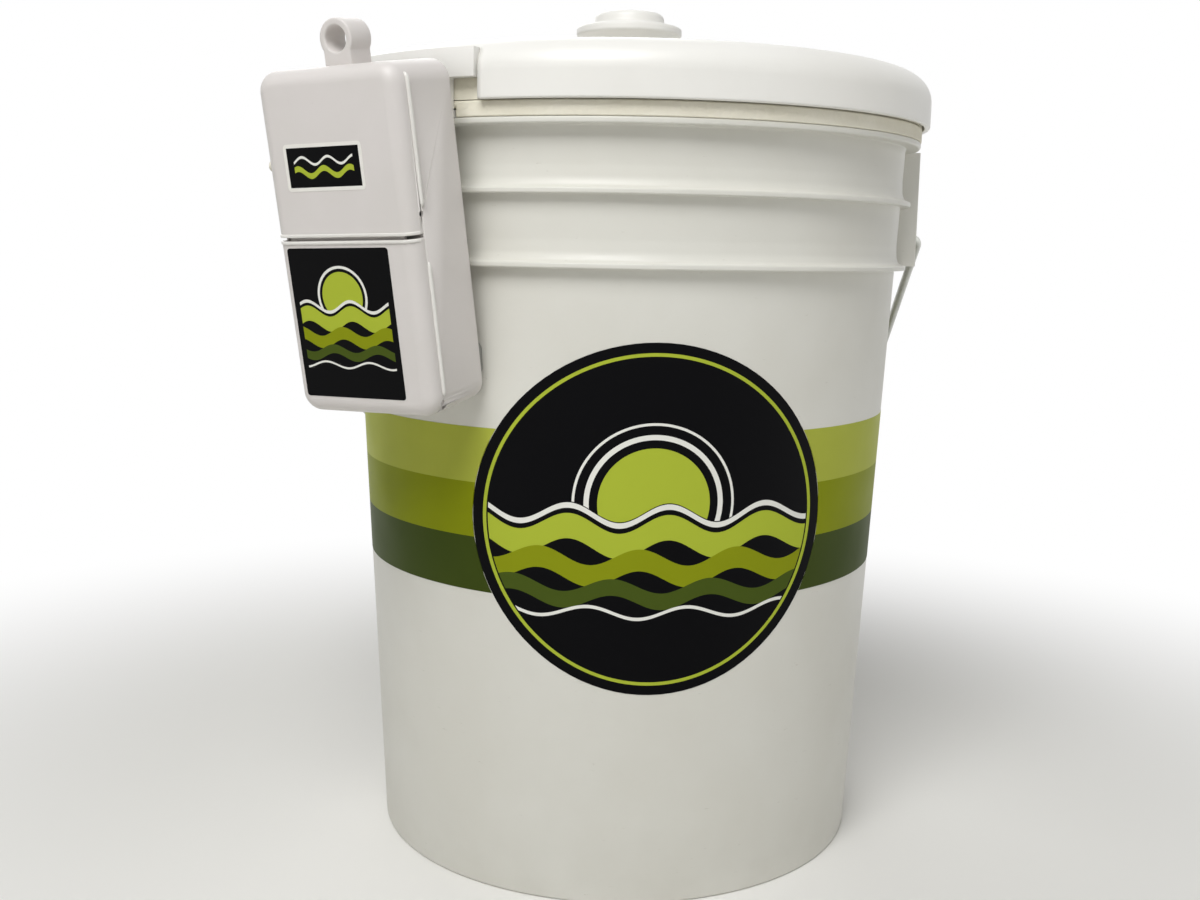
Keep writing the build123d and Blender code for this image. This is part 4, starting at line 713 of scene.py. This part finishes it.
# thin lips each side of the seam: a low ridge carried across the front and round its corners, where it fades out
lip = {"width": 1.4, "proud": 0.6, "tongue": 1.5, "tongueThickness": 1.6, "fit": 0.3}
corner = np.linspace(0, math.pi / 2 - 0.25, 12)
flank = pump["edge"] * (1 - np.cos(corner))
leftSide = np.stack([-half["width"] + pump["edge"] * (1 - np.sin(corner)), depthAll - flank, -np.sin(corner), np.cos(corner), np.cos(corner)], -1)[::-1]
rightSide = leftSide[::-1] * (-1, 1, -1, 1, 1)
course = np.vstack([leftSide, rightSide])
for name, low, body in (("lipUpper", coverBottom, "bucket"), ("lipLower", doorTop - lip["width"], "battery_door")):
    section = np.array([(0, -0.5), (0, 0.55), (0.12, 0.85), (0.35, 1.0), (lip["width"] - 0.35, 1.0), (lip["width"] - 0.12, 0.85),
                        (lip["width"], 0.55), (lip["width"], -0.5)])
    rise = np.where(section[None, :, 1] > 0, section[None, :, 1] * lip["proud"] * np.sqrt(course[:, 4])[:, None], section[None, :, 1])
    rows = np.stack([course[:, 0][:, None] + course[:, 2][:, None] * rise, np.broadcast_to(low + section[None, :, 0], rise.shape),
                     course[:, 1][:, None] + course[:, 3][:, None] * rise], -1)
    # the lips take the lighter bead finish, a painted highlight along the seam
    loft(name, onPump(rows), finishes["bead"], body)

# the cover's tongue, which closes the seam from behind
front = depthAll - wall - lip["fit"]
strip = np.array([(doorTop - lip["tongue"], front - lip["tongueThickness"]), (doorTop - lip["tongue"], front - 0.4),
                  (doorTop - lip["tongue"] + 0.4, front), (coverBottom + 1.0, front), (coverBottom + 1.0, front - lip["tongueThickness"])])
reach = half["width"] - pump["edge"]
loft("seamTongue", onPump(np.array([np.column_stack([np.full(len(strip), x), strip]) for x in np.linspace(-reach, reach, 9)])),
     finishes["housing"], "bucket")
print("pump housing made")

# ---------- labels on the pump ----------
doorLabel = {"width": 55.0, "height": 66.6, "across": -4.3, "up": -33.4, "corner": 1.5}
badge = {"width": 42.0, "height": 20.0, "across": -4.8, "up": 34.3, "corner": 1.8}


def pumpFrame(label):
    middle = onPump(np.array([label["across"], label["up"], depthAll])) * mm
    return labelFrame(tuple(middle), tuple(pumpAcross), tuple(pumpUp), tuple(pumpOut))


def onFront(label):
    def wrap(points, lift):
        return onPump(np.stack([points[..., 0] + label["across"], points[..., 1] + label["up"], depthAll + lift + 0 * points[..., 0]], -1))
    return wrap


# coated paper labels: black, satin, with flat inks; water lines only
doorInk = printedLabel("coatedDoorLabel", "#09090a", (
    ("ring", "#adbb3c", (0, 12, 5.5, 5.5)), ("ring", "#e9e9e2", (0, 12, 13, 0.6)),
    ("wave", "#09090a", (-8, 15.5, 2.4, 24, 0.6)),
    ("wave", "#e9e9e2", (7.6, 0.7, 2.4, 24, 0.6)), ("wave", "#adbb3c", (2.2, 3.4, 2.4, 24, 0.6)),
    ("wave", "#8a9316", (-6.2, 2.8, 2.1, 24, 2.2)), ("wave", "#47561c", (-13.0, 2.0, 1.8, 24, 3.8)),
    ("wave", "#e9e9e2", (-18.5, 0.45, 1.4, 24, 5.2)),
    ("edge", "#09090a", (24.5, 29.5)), ), pumpFrame(doorLabel), roughness=0.5)
patch("doorLabel", doorLabel["width"] / 2, doorLabel["height"] / 2, doorLabel["corner"], 8, onFront(doorLabel), doorInk,
      "battery_door", "door_label")
badgeInk = printedLabel("coatedBadge", "#09090a", (
    ("wave", "#e9e9e2", (2.8, 0.55, 1.6, 14, 0.4)), ("wave", "#adbb3c", (-2.0, 1.2, 1.6, 14, 1.6)),
    ("edge", "#09090a", (16.0, 7.0)), ("edge", "#eceae4", (19.4, 8.4)), ), pumpFrame(badge), roughness=0.5)
patch("coverBadge", badge["width"] / 2, badge["height"] / 2, badge["corner"], 8, onFront(badge), badgeInk, "bucket",
      "cover_badge")

# ---------- small mouldings: copies of the frame's own solids with softened edges ----------
def rounded(name, source, width, material, body):
    # triangles are merged back into flat faces, then every edge sharper than 35 degrees is bevelled
    mesh = nodes[source].data.copy()
    merged = bmesh.new()
    merged.from_mesh(mesh)
    bmesh.ops.remove_doubles(merged, verts=merged.verts, dist=0.002 * mm)
    bmesh.ops.dissolve_limit(merged, angle_limit=math.radians(0.5), verts=merged.verts, edges=merged.edges)
    merged.to_mesh(mesh)
    merged.free()
    mesh.name = name
    mesh.materials.clear()
    mesh.materials.append(material)
    piece = bpy.data.objects.new(name, mesh)
    scene.collection.objects.link(piece)
    modifier(piece, "BEVEL", width=width * mm, segments=2, limit_method="ANGLE", angle_limit=math.radians(35))
    piece.data.polygons.foreach_set("use_smooth", np.ones(len(piece.data.polygons), bool))
    piece.data.set_sharp_from_angle(angle=math.radians(38))
    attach(piece, body)
    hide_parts(source)


# the hanger's lighter finish is painted light
rounded("hangerHook", "pump_hanger", 0.5, finishes["hanger"], "bucket")
rounded("pailBumper", "pump_bumper", 1.2, finishes["rubber_grey"], "bucket")
rounded("airNipple", "outlet_nipple", 0.15, finishes["nylon"], "bucket")
rounded("switchKnob", "switch_slider", 0.15, finishes["switch_black"], "switch")
rounded("pumpHead", "pump_head", 0.5, finishes["nylon"], "bucket")

# ---------- the other parts keep their own shape and get their finish ----------
# dry cells: a charcoal sleeve with a copper-coloured end towards each tip
cellFrame = pumpFrame({"across": 0, "up": 0})
cellInks = {"battery_left": printedLabel("sleeveTipUp", "#1f2226", (("wave", "#b3763c", (-12, 10.2, 0, 50, 0)),), cellFrame, roughness=0.3),
            "battery_right": printedLabel("sleeveTipDown", "#1f2226", (("wave", "#b3763c", (-54, 10.2, 0, 50, 0)),), cellFrame, roughness=0.3)}
for row in frame["record"]["subparts"]:
    node = nodes[row["node"]]
    if node.hide_render or row["material_slot"] not in finishes:
        continue
    node.data.materials.clear()
    node.data.materials.append(cellInks.get(row["node"], finishes[row["material_slot"]]))
    print("kept", row["node"], row["material_slot"])

# ---------- studio ----------
studio = {"floor": "#efeeea", "near": 0.26, "far": 0.75, "floorSize": 5.0, "sky": 0.2, "key": 0.5, "fill": 2.2, "rim": 7.8, "top": 19.0}


def seenRays(tree):
    # one for rays from the camera, off gloss or through glass, which see the white backdrop; nought for the light
    rays = addNode(tree, "ShaderNodeLightPath")
    gloss = addNode(tree, "ShaderNodeMath", {0: rays.outputs["Is Camera Ray"], 1: rays.outputs["Is Glossy Ray"]}, operation="MAXIMUM").outputs[0]
    return addNode(tree, "ShaderNodeMath", {0: gloss, 1: rays.outputs["Is Transmission Ray"]}, operation="MAXIMUM").outputs[0]


floorMaterial = bpy.data.materials.new("paleFloor")  # matt paper, fading into the white of the sky away from the pail
floorMaterial.use_nodes = True
tree = floorMaterial.node_tree
shader = tree.nodes["Principled BSDF"]
shader.inputs["Base Color"].default_value = linearColour(studio["floor"])
shader.inputs["Roughness"].default_value = 0.9
place = addNode(tree, "ShaderNodeTexCoord").outputs["Object"]
away = addNode(tree, "ShaderNodeVectorMath", {0: place}, operation="LENGTH").outputs[1]
fade = addNode(tree, "ShaderNodeMapRange", {0: away, 1: studio["near"], 2: studio["far"]}, interpolation_type="SMOOTHSTEP").outputs[0]
fade = addNode(tree, "ShaderNodeMath", {0: fade, 1: seenRays(tree)}, operation="MULTIPLY").outputs[0]
glow = addNode(tree, "ShaderNodeEmission", {0: (1, 1, 1, 1), 1: 1.0}).outputs[0]
mixed = addNode(tree, "ShaderNodeMixShader", {0: fade, 1: shader.outputs[0], 2: glow}).outputs[0]
tree.links.new(mixed, tree.nodes["Material Output"].inputs["Surface"])
ringTurn = np.linspace(0, 2 * math.pi, 96, endpoint=False)
floorMesh = bpy.data.meshes.new("floor")
floorMesh.from_pydata(np.stack([studio["floorSize"] * np.cos(ringTurn), studio["floorSize"] * np.sin(ringTurn), 0 * ringTurn - 0.0002], -1).tolist(), [], [list(range(96))])
floorMesh.materials.append(floorMaterial)
floor = bpy.data.objects.new("floor", floorMesh)
scene.collection.objects.link(floor)

world = bpy.data.worlds.new("softSky")
scene.world = world
world.use_nodes = True
tree = world.node_tree
background = tree.nodes["Background"]
background.inputs[0].default_value = (1, 1, 1, 1)
level = addNode(tree, "ShaderNodeMapRange", {0: seenRays(tree), 1: 0.0, 2: 1.0, 3: studio["sky"], 4: 1.0}).outputs[0]
tree.links.new(level, background.inputs[1])


def softbox(name, place, aim, size, power):
    # a square area lamp turned towards a point
    lamp = bpy.data.lights.new(name, "AREA")
    lamp.size = size
    lamp.energy = power
    box = bpy.data.objects.new(name, lamp)
    scene.collection.objects.link(box)
    box.location = place
    box.rotation_euler = (Vector(aim) - Vector(place)).to_track_quat("-Z", "Y").to_euler()


softbox("keyBox", (-0.9, -1.2, 0.8), (0, 0, 0.2), 0.7, studio["key"])
softbox("topBox", (-0.35, -1.05, 1.45), (0, 0, 0.3), 0.8, studio["top"])
softbox("fillBox", (1.4, -0.6, 0.6), (0, 0, 0.2), 1.0, studio["fill"])
softbox("backBox", (-0.3, 1.5, 1.3), (0, 0, 0.25), 1.2, studio["rim"])

# ---------- camera: the photograph's, worked out from the pail's rim, rings and foot ----------
view = {"distance": 0.7324, "height": 0.3147, "yaw": 0.016, "pitch": -0.1522, "roll": 0.0173, "lens": 39.738, "turn": -4.8}
yaw, pitch, roll, turnAll = view["yaw"], view["pitch"], view["roll"], math.radians(view["turn"])
level = Vector((-math.sin(yaw), math.cos(yaw), 0))
right = Vector((math.cos(yaw), math.sin(yaw), 0))
forward = level * math.cos(pitch) + Vector((0, 0, 1)) * math.sin(pitch)
upward = Vector((0, 0, 1)) * math.cos(pitch) - level * math.sin(pitch)
right, upward = right * math.cos(roll) + upward * math.sin(roll), upward * math.cos(roll) - right * math.sin(roll)
spin = Matrix.Rotation(turnAll, 3, "Z")
right, upward, forward = spin @ right, spin @ upward, spin @ forward
place = spin @ Vector((0, -view["distance"], view["height"]))
camera = bpy.data.objects.new("camera", bpy.data.cameras.new("camera"))
scene.collection.objects.link(camera)
camera.data.sensor_width = 36.0
camera.data.lens = view["lens"]
camera.data.clip_start, camera.data.clip_end = 0.01, 50.0
camera.matrix_world = Matrix.Translation(place) @ Matrix((right, upward, -forward)).transposed().to_4x4()
scene.camera = camera
print("studio and camera made")
